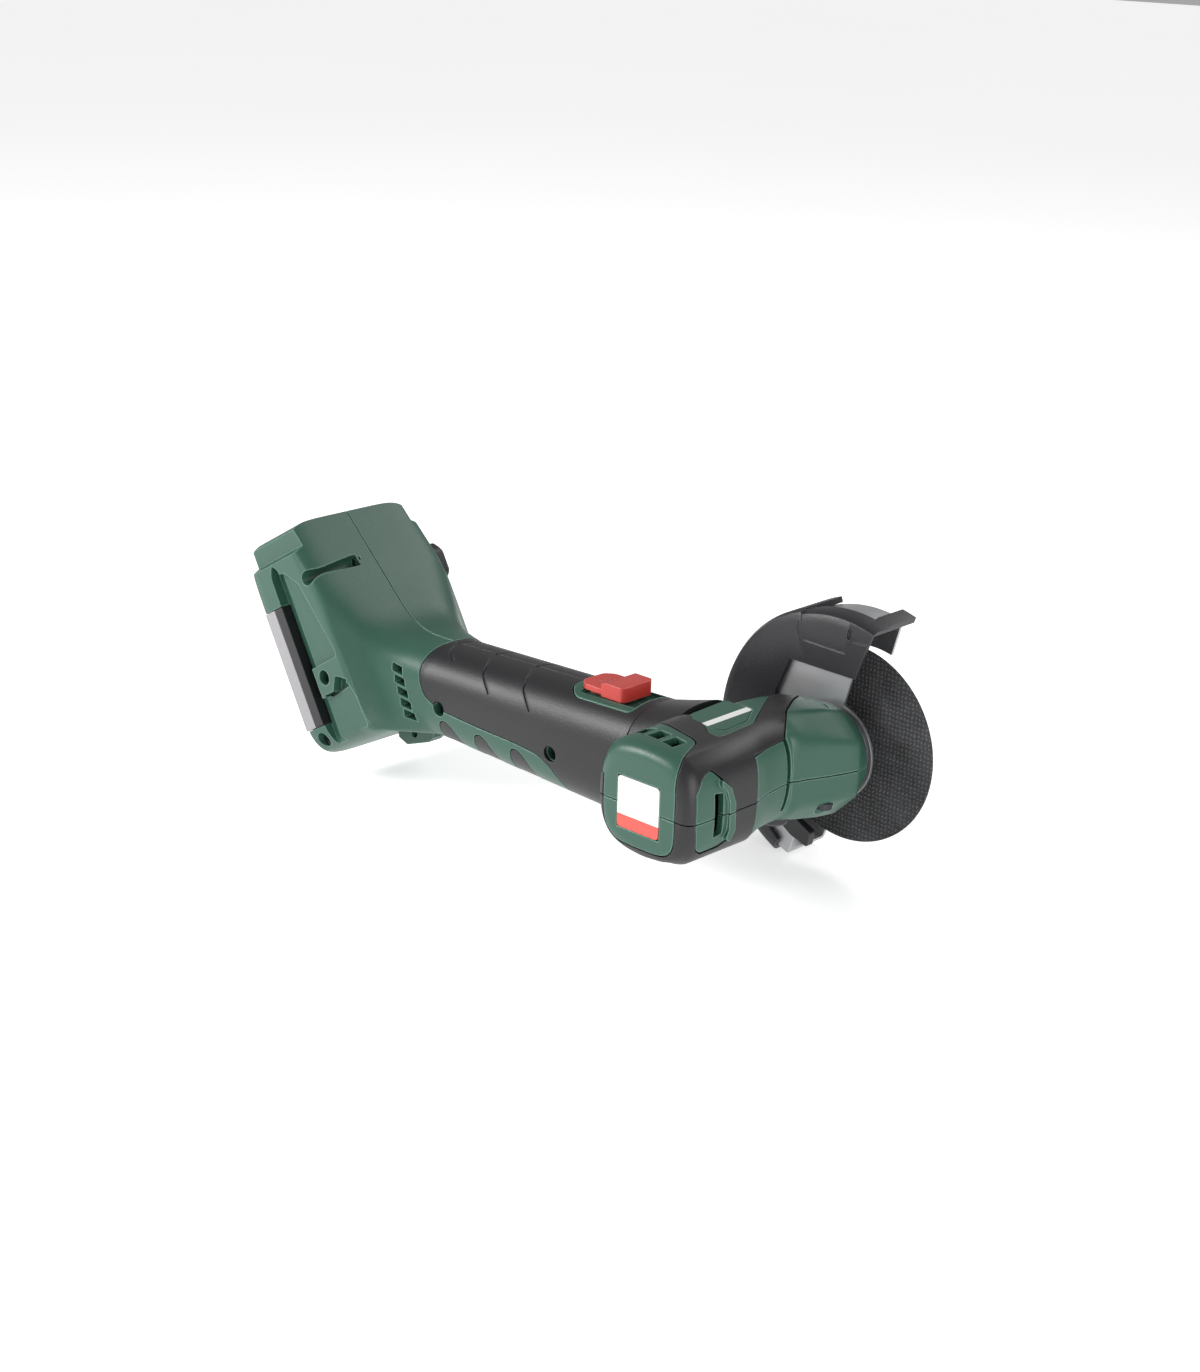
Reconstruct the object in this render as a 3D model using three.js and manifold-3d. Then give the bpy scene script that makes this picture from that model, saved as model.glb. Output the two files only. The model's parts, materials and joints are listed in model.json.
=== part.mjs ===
// Compact cordless angle grinder for a 76 mm disc, as an assembly of its separate pieces.
// Millimetres. +X runs forward along the grip, +Y along the spindle towards the disc, +Z up.
// Inside this file the spindle axis is x = 0, z = 0 and the grip is split at y = 0. The exported
// group is moved so that its origin lies on the flat rear face, midway across the land above
// the track that takes the battery.
import * as THREE from "three";
import { mergeVertices } from "three/addons/utils/BufferGeometryUtils.js";
import Module from "manifold-3d";

// ---------- Driving dimensions ----------
const GAP = 0.3; // between pieces that touch
const RUN = 0.5; // around what turns or slides
const WALL = 3.2; // moulded shells
const SKIN = 1.4; // soft overmould on the shells
const REACH = 400; // longer than anything here, for cutting tools

const GRIP = {
  front: -44, rear: -150, roundness: 2.5,
  frontHalf: 20, frontTop: 17.5, frontBase: -27.6,
  rearHalf: 19.5, rearTop: 13.4, rearBase: -23.6,
};
// The foot leans back by its tilt. Its own f axis runs forward from the battery face, t runs up it.
const FOOT = {
  tilt: THREE.MathUtils.degToRad(30), seatX: GRIP.rear - 66.5, seatZ: -9,
  half: 33.5, top: 54, base: -37, frontTop: 30, frontDepth: 38, faceFoot: 28, roundness: 6,
};
const CROWN = { half: 28.6, step: 41.5 }; // narrow head of the foot, above two side ledges
const RECESS = { channel: 2.4, panel: 1.7 }; // depths of the foot's side fields
const NECK = { cornerX: GRIP.rear - 24.8, cornerZ: 13, bend: 13, sections: 6, flare: 1.5 };
const BARREL = { end: -48.25, back: -30, front: 14.2, top: 22.8, base: -18.6, roundness: 5 };
const WAIST = { y: 9, front: 10.8 };
const NOSE = { radius: 20.3, start: 14, full: 35.5, end: 42.5 };
const COLLAR = { join: -24, wall: 2.2, tongue: 12 };
const HEAD_WALL = 2.6;

const SWITCH = { x: -66, travel: 6, length: 23, half: 8.3, neckHalf: 4.5, top: 21.4, rest: 18.6 };
const BEZEL = { rear: -81, front: -43.5, half: 12 };

const SEAT = { width: 2 * FOOT.half, height: 50, thickness: 6.5, frame: 5, land: 6 };
const CHANNEL = { width: 44, depth: 4, lipDepth: 1.6, lip: 3 };
const TERMINAL = { width: 26, height: 16, length: 11, blades: 3, bladePitch: 8, blade: 0.8 };

const MOTOR = { z: 2, radius: 16.6, start: -38.4, end: -14 };
const ROTOR = { radius: 9, start: -37.8, end: -15, shaft: 2 };
const GEAR = { module: 0.8, pinionTeeth: 10, wheelTeeth: 15, start: 4, width: 6, angle: 20 };
const FAN = { radius: 15, start: -10.5, width: 5.5, blades: 9 };
const SPINDLE = { radius: 5, gearSeat: 4, start: -2, end: 58.4 };
const BEARING = { width: 7, wall: 5, smallWidth: 4, smallWall: 3 };
const DISC = { radius: 38, thickness: 1, y: 55.2, bore: SPINDLE.radius };
const FLANGE = { radius: 11, inner: 4.2, outer: 3 };
const CLAMP = { radius: 8, head: 4.5, shank: 2.5, socket: 2.6 };

const GUARD = {
  radius: 50, sheet: 1.2, near: 44.7, far: 67.2, lip: 35, hub: 17, from: 75, to: 250,
};
const COVER = {
  radius: 52.6, face: 42.9, bevel: 46.4, from: 71, to: 244, step: 108.6, narrow: 51.7, rim: 53,
};
const LEVER = { pinX: -23.5, pinZ: -25.5, pin: 1.5, arm: 3.4, thickness: 3.2 };
const LOCK = { y: 14, radius: 5.5, stem: 1.5, pinGap: 1, seat: 3 };
const KEY = {
  across: 4, grip: 6.5, gripSize: 7.5, gripF: 25, gripT: 25, tipF: 34.2, tipT: 32.5, tipY: -8,
};
const GROOVE = { radius: 2.9, endF: 35.4, startF: 33.2, startT: 30.5 };
const SCREW = { head: 2.9, headDepth: 2.4, shank: 1.4, boss: 3.8 };

// ---------- Palette ----------
const finish = (color, roughness, metalness = 0) =>
  new THREE.MeshStandardMaterial({ color, roughness, metalness });
const GREEN = finish(0x2f5f4e, 0.55);
const BLACK = finish(0x222226, 0.7);
const CHARCOAL = finish(0x3a3a3e, 0.6);
const RED = finish(0xd9473f, 0.4);
const GREY = finish(0x9c9a9c, 0.6);
const WHITE = finish(0xf0f0ee, 0.4);
const STEEL = finish(0xb8babd, 0.35, 1);
const DARK_STEEL = finish(0x55575b, 0.4, 1);
const COPPER = finish(0xb4633a, 0.35, 1);
const BRASS = finish(0xc9a34e, 0.35, 1);
const ABRASIVE = finish(0x2c2b2c, 0.95);
const BOARD = finish(0x1f6b3f, 0.5);

// ---------- Solids ----------
const wasm = await Module();
wasm.setup();

// A closed geometry as a solid that faces outwards.
function toSolid(geometry) {
  const bare = geometry.index ? geometry.toNonIndexed() : geometry.clone();
  bare.deleteAttribute("normal");
  bare.deleteAttribute("uv");
  const merged = mergeVertices(bare, 1e-4);
  const corners = merged.index.array;
  const triangles = [];
  for (let i = 0; i < corners.length; i += 3) {
    const [a, b, c] = corners.slice(i, i + 3);
    if (a !== b && b !== c && c !== a) triangles.push(a, b, c);
  }
  const build = (list) =>
    new wasm.Manifold(
      new wasm.Mesh({
        numProp: 3,
        vertProperties: merged.attributes.position.array,
        triVerts: new Uint32Array(list),
      }),
    );
  const solid = build(triangles);
  return solid.volume() < 0 ? build(triangles.reverse()) : solid;
}

function toGeometry(solid) {
  const mesh = solid.getMesh();
  const points = new Float32Array(mesh.numVert * 3);
  for (let i = 0; i < mesh.numVert; i++) {
    const at = i * mesh.numProp;
    points.set(mesh.vertProperties.subarray(at, at + 3), i * 3);
  }
  const geometry = new THREE.BufferGeometry();
  geometry.setAttribute("position", new THREE.BufferAttribute(points, 3));
  geometry.setIndex(new THREE.BufferAttribute(mesh.triVerts, 1));
  geometry.computeVertexNormals();
  return geometry;
}

const join = (first, ...others) => others.reduce((body, other) => body.add(other), first);
const cut = (first, ...tools) => tools.reduce((body, tool) => body.subtract(tool), first);
const range = (count) => Array.from({ length: count }, (_, i) => i);
const lerp = THREE.MathUtils.lerp;
const vec = (x, y, z) => new THREE.Vector3(x, y, z);

function box(x0, x1, y0, y1, z0, z1, placed = new THREE.Matrix4()) {
  const geometry = new THREE.BoxGeometry(x1 - x0, y1 - y0, z1 - z0);
  geometry.translate((x0 + x1) / 2, (y0 + y1) / 2, (z0 + z1) / 2);
  return toSolid(geometry.applyMatrix4(placed));
}

// A round bar from one point to another.
function rod(radius, from, to, sides = 12) {
  const along = to.clone().sub(from);
  const geometry = new THREE.CylinderGeometry(radius, radius, along.length(), sides);
  geometry.translate(0, along.length() / 2, 0);
  geometry.applyQuaternion(new THREE.Quaternion().setFromUnitVectors(vec(0, 1, 0), along.normalize()));
  return toSolid(geometry.translate(from.x, from.y, from.z));
}

// A profile of [radius, y] points turned about an axis that runs along Y.
function turned(profile, sides = 32, x = 0, z = 0) {
  const points = profile.map(([r, y]) => new THREE.Vector2(r, y));
  return toSolid(new THREE.LatheGeometry(points, sides).translate(x, 0, z));
}

const disc = (radius, y0, y1, sides, x, z) =>
  turned([[0, y0], [radius, y0], [radius, y1], [0, y1]], sides, x, z);
const ring = (inner, outer, y0, y1, sides, x, z) =>
  turned([[inner, y0], [outer, y0], [outer, y1], [inner, y1], [inner, y0]], sides, x, z);

// A flat outline pushed along Y (outline in x, z) or Z (outline in x, y).
function prism(outline, axis, from, to, placed = new THREE.Matrix4()) {
  const shape = outline instanceof THREE.Shape ? outline : new THREE.Shape(
    outline.map(([u, v]) => new THREE.Vector2(u, v)),
  );
  const geometry = new THREE.ExtrudeGeometry(shape, {
    depth: to - from, bevelEnabled: false, curveSegments: 6,
  });
  if (axis === "y") geometry.rotateX(Math.PI / 2).translate(0, to, 0);
  else geometry.translate(0, 0, from);
  return toSolid(geometry.applyMatrix4(placed));
}

// A skin through a row of rings with equal numbers of points, closed at both ends.
function loft(rings) {
  const count = rings[0].length;
  const points = rings.flat().flatMap((p) => [p.x, p.y, p.z]);
  const faces = [];
  for (let r = 0; r + 1 < rings.length; r++)
    for (let i = 0; i < count; i++) {
      const a = r * count + i;
      const b = r * count + ((i + 1) % count);
      faces.push(a, b, b + count, a, b + count, a + count);
    }
  for (const [start, ends] of [[0, [0, 1]], [(rings.length - 1) * count, [1, 0]]]) {
    const middle = points.length / 3;
    const mid = new THREE.Vector3();
    for (let i = 0; i < count; i++) mid.add(new THREE.Vector3().fromArray(points, (start + i) * 3));
    mid.divideScalar(count);
    points.push(mid.x, mid.y, mid.z);
    for (let i = 0; i < count; i++) {
      const edge = [start + i, start + ((i + 1) % count)];
      faces.push(middle, edge[ends[1]], edge[ends[0]]);
    }
  }
  const geometry = new THREE.BufferGeometry();
  geometry.setAttribute("position", new THREE.Float32BufferAttribute(points, 3));
  geometry.setIndex(faces);
  return toSolid(geometry);
}

// A superellipse about a centre, with its two half axes as vectors.
function oval(centre, across, up, roundness, count) {
  const power = 2 / roundness;
  return range(count).map((i) => {
    const angle = (i / count) * 2 * Math.PI;
    const c = Math.cos(angle);
    const s = Math.sin(angle);
    return centre
      .clone()
      .addScaledVector(across, Math.sign(c) * Math.abs(c) ** power)
      .addScaledVector(up, Math.sign(s) * Math.abs(s) ** power);
  });
}

const left = box(-REACH, REACH, -REACH, -GAP / 2, -REACH, REACH);
const right = box(-REACH, REACH, GAP / 2, REACH, -REACH, REACH);
const above = box(-REACH, REACH, -REACH, REACH, GAP / 2, REACH);
const below = box(-REACH, REACH, -REACH, REACH, -REACH, -GAP / 2);

// ---------- Handle form: grip, neck and foot ----------
const footFrame = new THREE.Matrix4()
  .makeTranslation(FOOT.seatX, 0, FOOT.seatZ)
  .multiply(new THREE.Matrix4().makeRotationY(-FOOT.tilt));
const inFoot = (f, y, t) => vec(f, y, t).applyMatrix4(footFrame);

// A section of the handle: its top and base points, half width and roundness.
const section = (top, base, half, roundness) => ({ top, base, half, roundness });

function gripSection(x) {
  const k = (x - GRIP.front) / (GRIP.rear - GRIP.front);
  return section(
    vec(x, 0, lerp(GRIP.frontTop, GRIP.rearTop, k)),
    vec(x, 0, lerp(GRIP.frontBase, GRIP.rearBase, k)),
    lerp(GRIP.frontHalf, GRIP.rearHalf, k),
    GRIP.roundness,
  );
}

// The top line runs back along the grip, bends at the neck and climbs the face of the foot.
function neckSections() {
  const start = gripSection(GRIP.rear);
  const corner = vec(NECK.cornerX, 0, NECK.cornerZ);
  const top = faceAt(FOOT.frontDepth);
  const before = corner.clone().addScaledVector(start.top.clone().sub(corner).normalize(), NECK.bend);
  const after = corner.clone().addScaledVector(top.clone().sub(corner).normalize(), NECK.bend);
  const line = new THREE.CurvePath();
  line.add(new THREE.LineCurve3(start.top, before));
  line.add(new THREE.QuadraticBezierCurve3(before, corner, after));
  line.add(new THREE.LineCurve3(after, top));
  const base = inFoot(FOOT.frontDepth, 0, FOOT.base);
  return range(NECK.sections).map((i) => {
    const k = (i + 1) / NECK.sections;
    return section(
      line.getPointAt(k),
      start.base.clone().lerp(base, k),
      lerp(GRIP.rearHalf, FOOT.half - 0.8, k ** NECK.flare),
      lerp(GRIP.roundness, FOOT.roundness, k),
    );
  });
}

// The point of the foot's sloping front face at a depth from the battery face.
function faceAt(depth) {
  const rise = (FOOT.top - FOOT.faceFoot) / (FOOT.frontDepth - FOOT.frontTop);
  return inFoot(depth, 0, Math.min(FOOT.top, FOOT.top - (depth - FOOT.frontTop) * rise));
}

function handleSections() {
  const grip = range(4).map((i) => gripSection(lerp(GRIP.front, GRIP.rear, i / 3)));
  const depths = [FOOT.frontDepth - 4, FOOT.frontTop, FOOT.frontTop - 6, 0];
  const foot = depths.map((f) =>
    section(faceAt(f), inFoot(f, 0, FOOT.base), FOOT.half, FOOT.roundness),
  );
  return [...grip, ...neckSections(), ...foot];
}

// The handle's form pulled in by an inset; more lengthens it at both ends.
function handleForm(inset, more = 0, count = 20) {
  const rings = handleSections().map(({ top, base, half, roundness }) => {
    const up = top.clone().sub(base).multiplyScalar(0.5);
    const middle = base.clone().add(up);
    up.setLength(up.length() - inset);
    return oval(middle, vec(0, half - inset, 0), up, roundness, count);
  });
  const shift = (points, by) => points.map((p) => p.clone().add(by));
  if (more) {
    rings.unshift(shift(rings[0], vec(more, 0, 0)));
    rings.push(shift(rings.at(-1), inFoot(-more, 0, 0).sub(inFoot(0, 0, 0))));
  }
  return loft(rings);
}

// ---------- Head form: motor barrel, waist and nose ----------
// Sections along Y: [y, back, front, base, top, roundness].
const HEAD_SECTIONS = [
  [BARREL.end, BARREL.back + 3, BARREL.front - 4, BARREL.base + 2.5, BARREL.top - 3.5, BARREL.roundness],
  [BARREL.end + 3, BARREL.back + 0.5, BARREL.front - 1, BARREL.base, BARREL.top, BARREL.roundness],
  [-13, BARREL.back, BARREL.front + 0.6, BARREL.base, BARREL.top, BARREL.roundness],
  [-5, BARREL.back + 2, WAIST.front + 1.4, BARREL.base + 0.5, BARREL.top, 4.4],
  [WAIST.y, BARREL.back + 5, WAIST.front, BARREL.base + 0.4, BARREL.top, 4],
  [NOSE.start, -NOSE.radius - 4, WAIST.front + 2, BARREL.base + 0.2, BARREL.top, 3.4],
  [NOSE.full, -NOSE.radius, NOSE.radius, -NOSE.radius + 0.4, NOSE.radius + 0.2, 2.8],
  [NOSE.end, -NOSE.radius + 1, NOSE.radius - 1, -NOSE.radius + 1.2, NOSE.radius - 1, 2.4],
];

function headForm(inset, count = 24) {
  const last = HEAD_SECTIONS.length - 1;
  const rings = HEAD_SECTIONS.map(([y, back, front, base, top, roundness], i) => {
    const end = i === 0 ? inset : i === last ? -inset : 0;
    const middle = vec((back + front) / 2, y + end, (base + top) / 2);
    const across = vec((front - back) / 2 - inset, 0, 0);
    return oval(middle, across, vec(0, 0, (top - base) / 2 - inset), roundness, count);
  });
  return loft(rings);
}

// The collar that carries the head on the front of the grip, between two x stations.
function collarForm(inset, from, to) {
  const grip = gripSection(GRIP.front);
  const bend = lerp(GRIP.front, COLLAR.join, 0.45);
  const stations = [
    [GRIP.front, grip.top.z, grip.base.z, grip.half],
    [bend, grip.top.z + 2.2, grip.base.z + 2.5, grip.half + 0.5],
    [COLLAR.join, BARREL.top - 0.2, BARREL.base - 1.5, grip.half + 1],
  ];
  const at = (x) => {
    const [a, b] = x < bend ? [stations[0], stations[1]] : [stations[1], stations[2]];
    const k = THREE.MathUtils.clamp((x - a[0]) / (b[0] - a[0]), 0, 1);
    return a.map((value, i) => lerp(value, b[i], k));
  };
  const places = [from, ...[GRIP.front, bend, COLLAR.join].filter((x) => x > from && x < to), to];
  const rings = places.map((x) => {
    const [, top, base, half] = at(x);
    return oval(
      vec(x, 0, (top + base) / 2), vec(0, half - inset, 0),
      vec(0, 0, (top - base) / 2 - inset), GRIP.roundness, 24,
    );
  });
  return loft(rings);
}

// ---------- Assembly ----------
const group = new THREE.Group();
group.name = "angle_grinder";
group.position.copy(inFoot(0, 0, (SEAT.height - SEAT.land) / 2)).negate();

function add(name, solid, material) {
  const mesh = new THREE.Mesh(toGeometry(solid), material);
  mesh.name = name;
  group.add(mesh);
}

const motorX = -Math.sqrt(((GEAR.pinionTeeth + GEAR.wheelTeeth) * GEAR.module / 2) ** 2 - MOTOR.z ** 2);

// ---------- Handle shells and their soft sleeves ----------
const SLEEVE = [
  [GRIP.rear - 3, 40], [GRIP.rear - 3, 4], [GRIP.rear + 1, -4], [GRIP.rear + 8, -7.5],
  [-86, -9], [-74, -16], [-66, -40], [GRIP.front, -40], [GRIP.front, 40],
];
const BEZEL_OUTLINE = [
  [BEZEL.front + 4, -BEZEL.half], [BEZEL.rear + 6, -BEZEL.half], [BEZEL.rear, -BEZEL.half / 2],
  [BEZEL.rear, BEZEL.half / 2], [BEZEL.rear + 6, BEZEL.half], [BEZEL.front + 4, BEZEL.half],
];
const PAD = { first: GRIP.rear + 8, pitch: 19.5, count: 3, length: 15, top: -13, strip: 3.4 };

// An outline moved outwards by a distance, each corner along its two edges' normals.
function grown(outline, by) {
  const points = outline.map(([u, v]) => new THREE.Vector2(u, v));
  const turn = Math.sign(THREE.ShapeUtils.area(points));
  const count = points.length;
  const normal = (a, b) => new THREE.Vector2(b.y - a.y, a.x - b.x).normalize().multiplyScalar(turn);
  return points.map((p, i) => {
    const before = normal(points[(i + count - 1) % count], p);
    const after = normal(p, points[(i + 1) % count]);
    const shift = before.clone().add(after).multiplyScalar(by / (1 + before.dot(after)));
    return [p.x + shift.x, p.y + shift.y];
  });
}

const sleeveRegion = (by) =>
  cut(
    prism(grown(SLEEVE, by), "y", -REACH, REACH),
    prism(grown(BEZEL_OUTLINE, -by), "z", 0, REACH),
  );

// Three scallops that rise from one strip along the underside.
function padRegion(by) {
  const scallops = range(PAD.count).map((i) => {
    const x = PAD.first + i * PAD.pitch;
    const outline = [
      [x, -REACH], [x, PAD.top - 2], [x + 3, PAD.top], [x + PAD.length * 0.7, PAD.top - 5],
      [x + PAD.length, -REACH],
    ];
    return prism(grown(outline, by), "y", -REACH, REACH);
  });
  const end = PAD.first + (PAD.count - 1) * PAD.pitch + 1;
  const strip = box(PAD.first + 1, end, -REACH, REACH, -REACH, gripSection(end).base.z + PAD.strip + by);
  return join(...scallops, strip);
}

// Screws through the handle halves: [x, z, y of the head's seat].
const footScrew = (f, t) => [inFoot(f, 0, t).x, inFoot(f, 0, t).z, -FOOT.half + 7];
const HANDLE_SCREWS = [
  [GRIP.rear + 9, -7, -13], [GRIP.front - 36, -8, -13],
  footScrew(23, -8), footScrew(6.6, -30.5),
];

// A small loop lug under the neck.
const lug = () =>
  cut(
    prism(
      [[-9.2, -20], [12.8, -17], [11.8, -30], [6.8, -33], [-4.2, -36], [-8.2, -33]].map(([x, z]) =>
        [NECK.cornerX + x, z],
      ), "y", -3, 3,
    ),
    rod(2, vec(NECK.cornerX + 1.8, -5, -30), vec(NECK.cornerX + 1.8, 5, -30)),
  );

function handleShells() {
  const outer = handleForm(0);
  const hollow = cut(handleForm(WALL, 60), box(-REACH, WALL, -REACH, REACH, -REACH, REACH, footFrame));
  const bosses = HANDLE_SCREWS.map(([x, z]) => rod(SCREW.boss, vec(x, -50, z), vec(x, 50, z)));
  const tongueOuter = collarForm(COLLAR.wall + GAP, GRIP.front - 8, GRIP.front + COLLAR.tongue);
  const tongueInner = collarForm(COLLAR.wall + GAP + 2, GRIP.front - 20, GRIP.front + COLLAR.tongue + 1);
  let shell = cut(join(outer, lug()), hollow);
  shell = join(shell, cut(tongueOuter, tongueInner));
  bosses.push(groove(GROOVE.radius + 2, 6), rod(KEY.across / 2 + RUN + 2, keyTip, keySeat, 12));
  shell = bosses.reduce((body, boss) => body.add(boss.intersect(outer)), shell);
  const skin = cut(handleForm(-2), handleForm(SKIN + GAP));
  shell = cut(shell, skin.intersect(sleeveRegion(GAP)));
  shell = cut(shell, skin.intersect(padRegion(GAP)));
  for (const [x, z, seat] of HANDLE_SCREWS) {
    shell = cut(
      shell,
      rod(SCREW.head + GAP, vec(x, -60, z), vec(x, seat + GAP, z)),
      rod(SCREW.shank + GAP, vec(x, -60, z), vec(x, 12.5, z)),
    );
  }
  const sides = [...sideCuts(-1), ...sideCuts(1)];
  return cut(shell, switchSlot(), seatNotch(), footVents(), keyBore(), groove(GROOVE.radius, 6), ...sides);
}

const switchSlot = () =>
  box(
    SWITCH.x - SWITCH.length / 2 + 1.5, SWITCH.x + SWITCH.length / 2 + SWITCH.travel - 1,
    -SWITCH.neckHalf - RUN, SWITCH.neckHalf + RUN, 5, REACH,
  );
// The light plate and its frame fill a notch across the foot's rear edge.
const seatNotch = () =>
  box(
    -10, SEAT.thickness + SEAT.frame + 2 * GAP, -REACH, REACH,
    -SEAT.height / 2 - GAP, SEAT.height / 2 + GAP, footFrame,
  );
const footVents = () =>
  join(...range(4).map((i) => {
    const x = NECK.cornerX + 8.8 + i * 3;
    return box(x, x + 1.6, -REACH, REACH, 2 - i * 3.4, 8 - i * 3.4);
  }));
const keyTip = inFoot(KEY.tipF, KEY.tipY, KEY.tipT);
const keySeat = inFoot(KEY.gripF, FOOT.half, KEY.gripT);
const keyAxis = keySeat.clone().sub(keyTip).normalize();
const keyBore = () =>
  rod(KEY.across / 2 + RUN, keyTip, keySeat.clone().addScaledVector(keyAxis, 8), 12);
// A slanting groove in the foot's face leads to the tip of the stored key.
const grooveStart = inFoot(GROOVE.startF, -FOOT.half, GROOVE.startT);
const grooveEnd = inFoot(GROOVE.endF, KEY.tipY + 1, KEY.tipT);
const grooveAxis = grooveStart.clone().sub(grooveEnd).normalize();
const groove = (radius, beyond) =>
  rod(radius, grooveEnd, grooveStart.clone().addScaledVector(grooveAxis, beyond), 14);

// The foot's sides step in above their ledges and hold a channel and two sunk fields.
const UPPER_FIELD = [[16, 36.8], [27, 30], [34.5, 0], [16, -2]];
const LOWER_FIELD = [[16, -15.5], [35, -13], [37, -31], [32, -35], [16, -35.2]];
function sideCuts(side) {
  const span = (from, to) => [Math.min(side * from, side * to), Math.max(side * from, side * to)];
  const step = box(-20, 80, ...span(CROWN.half, REACH), CROWN.step, REACH, footFrame);
  const channel = box(11.4, 16.5, ...span(FOOT.half - RECESS.channel, REACH), -40, 38, footFrame);
  const fields = [UPPER_FIELD, LOWER_FIELD].map((outline) =>
    prism(outline, "y", ...span(FOOT.half - RECESS.panel, REACH), footFrame),
  );
  return [step, channel, ...fields];
}

const shells = handleShells();
add("handle_shell_left", shells.intersect(left), GREEN);
add("handle_shell_right", shells.intersect(right), GREEN);

function sleeves() {
  let sleeve = cut(handleForm(0), handleForm(SKIN)).intersect(sleeveRegion(0));
  for (const [x, z] of HANDLE_SCREWS)
    sleeve = cut(sleeve, rod(SCREW.head + GAP, vec(x, -60, z), vec(x, 0, z)));
  return sleeve;
}
const sleeve = sleeves();
add("grip_sleeve_left", sleeve.intersect(left), BLACK);
add("grip_sleeve_right", sleeve.intersect(right), BLACK);

const pads = cut(handleForm(0), handleForm(SKIN)).intersect(padRegion(0));
add("grip_pads_left", pads.intersect(left), BLACK);
add("grip_pads_right", pads.intersect(right), BLACK);

function screw(x, z, seat, length) {
  const shank = rod(SCREW.shank, vec(x, seat - 0.2, z), vec(x, seat + length, z), 8);
  const head = rod(SCREW.head, vec(x, seat - SCREW.headDepth, z), vec(x, seat, z), 12);
  const recess = rod(SCREW.head * 0.5, vec(x, seat - SCREW.headDepth - 1, z), vec(x, seat - 1, z), 6);
  return cut(join(head, shank), recess);
}
HANDLE_SCREWS.forEach(([x, z, seat], i) => add(`handle_screw_${i + 1}`, screw(x, z, seat, 24), DARK_STEEL));

// ---------- Battery seat ----------
function seatPlate() {
  const { height, thickness } = SEAT;
  const half = SEAT.width / 2 - 0.2;
  const plate = box(0, thickness, -half, half, -height / 2, height / 2, footFrame);
  const track = box(
    -1, CHANNEL.depth, -CHANNEL.width / 2, CHANNEL.width / 2, -height, height / 2 - SEAT.land, footFrame,
  );
  const undercut = box(
    CHANNEL.lipDepth, CHANNEL.depth, -CHANNEL.width / 2 - CHANNEL.lip, CHANNEL.width / 2 + CHANNEL.lip,
    -height, height / 2 - SEAT.land, footFrame,
  );
  const slot = box(
    -1, thickness + 1, -TERMINAL.width / 2 - GAP, TERMINAL.width / 2 + GAP,
    -TERMINAL.height / 2 - GAP, TERMINAL.height / 2 + GAP, footFrame,
  );
  return { plate: cut(plate, undercut, track, slot), half };
}
const seat = seatPlate();
add("battery_seat_plate", seat.plate, GREY);

function seatFrame() {
  const from = SEAT.thickness + GAP;
  const to = from + SEAT.frame;
  const body = box(from, to, -seat.half, seat.half, -SEAT.height / 2, SEAT.height / 2, footFrame);
  const window = box(
    from - 1, to + 1, -TERMINAL.width / 2 - GAP, TERMINAL.width / 2 + GAP,
    -TERMINAL.height / 2 - GAP, TERMINAL.height / 2 + GAP, footFrame,
  );
  return cut(body, window);
}
add("battery_seat_frame", seatFrame(), BLACK);

// The terminal block stands in the track; its blades reach back through it.
const bladeY = (i) => (i - (TERMINAL.blades - 1) / 2) * TERMINAL.bladePitch;
function terminalBlock() {
  const front = CHANNEL.depth + TERMINAL.length;
  const body = box(
    CHANNEL.depth - 1.5, front, -TERMINAL.width / 2, TERMINAL.width / 2,
    -TERMINAL.height / 2, TERMINAL.height / 2, footFrame,
  );
  const slots = range(TERMINAL.blades).map((i) =>
    box(
      -5, front + 5, bladeY(i) - TERMINAL.blade / 2 - GAP, bladeY(i) + TERMINAL.blade / 2 + GAP,
      -TERMINAL.height / 2 + 3 - GAP, TERMINAL.height / 2 - 3 + GAP, footFrame,
    ),
  );
  return cut(body, ...slots);
}
add("terminal_block", terminalBlock(), BLACK);
for (const i of range(TERMINAL.blades)) {
  const blade = box(
    0.6, CHANNEL.depth + TERMINAL.length + 3,
    bladeY(i) - TERMINAL.blade / 2, bladeY(i) + TERMINAL.blade / 2,
    -TERMINAL.height / 2 + 3, TERMINAL.height / 2 - 3, footFrame,
  );
  add(`contact_blade_${i + 1}`, blade, BRASS);
}

// ---------- Hex key stored in the foot's far side ----------
const keyStem = rod(
  KEY.across / 2, keyTip.clone().addScaledVector(keyAxis, 1), keySeat.clone().addScaledVector(keyAxis, 4), 6,
);
function keyGrip() {
  const size = KEY.gripSize;
  const outline = [
    [-size, -size], [-size, size * 0.7], [-size * 0.5, size * 1.1], [size * 0.5, size * 1.1],
    [size, size * 0.6], [size, -size * 0.8], [size * 0.5, -size * 1.1], [-size * 0.6, -size * 1.1],
  ];
  const placed = footFrame.clone().multiply(new THREE.Matrix4().makeTranslation(KEY.gripF, 0, KEY.gripT));
  const from = FOOT.half + GAP;
  const hole = rod(KEY.across / 2 + GAP, keyTip, keySeat.clone().addScaledVector(keyAxis, 4 + GAP), 6);
  return cut(prism(outline, "y", from, from + KEY.grip, placed), hole);
}
add("hex_key", keyStem, STEEL);
add("hex_key_grip", keyGrip(), CHARCOAL);

// ---------- Head shells, bumpers and plates ----------
const HEAD_SCREWS = [[motorX - 12, -42.6], [motorX + 12, -42.6], [-15, 25.3], [13.6, 25.3]];
const headSolid = headForm(0);
const headHollow = headForm(HEAD_WALL);

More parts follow.
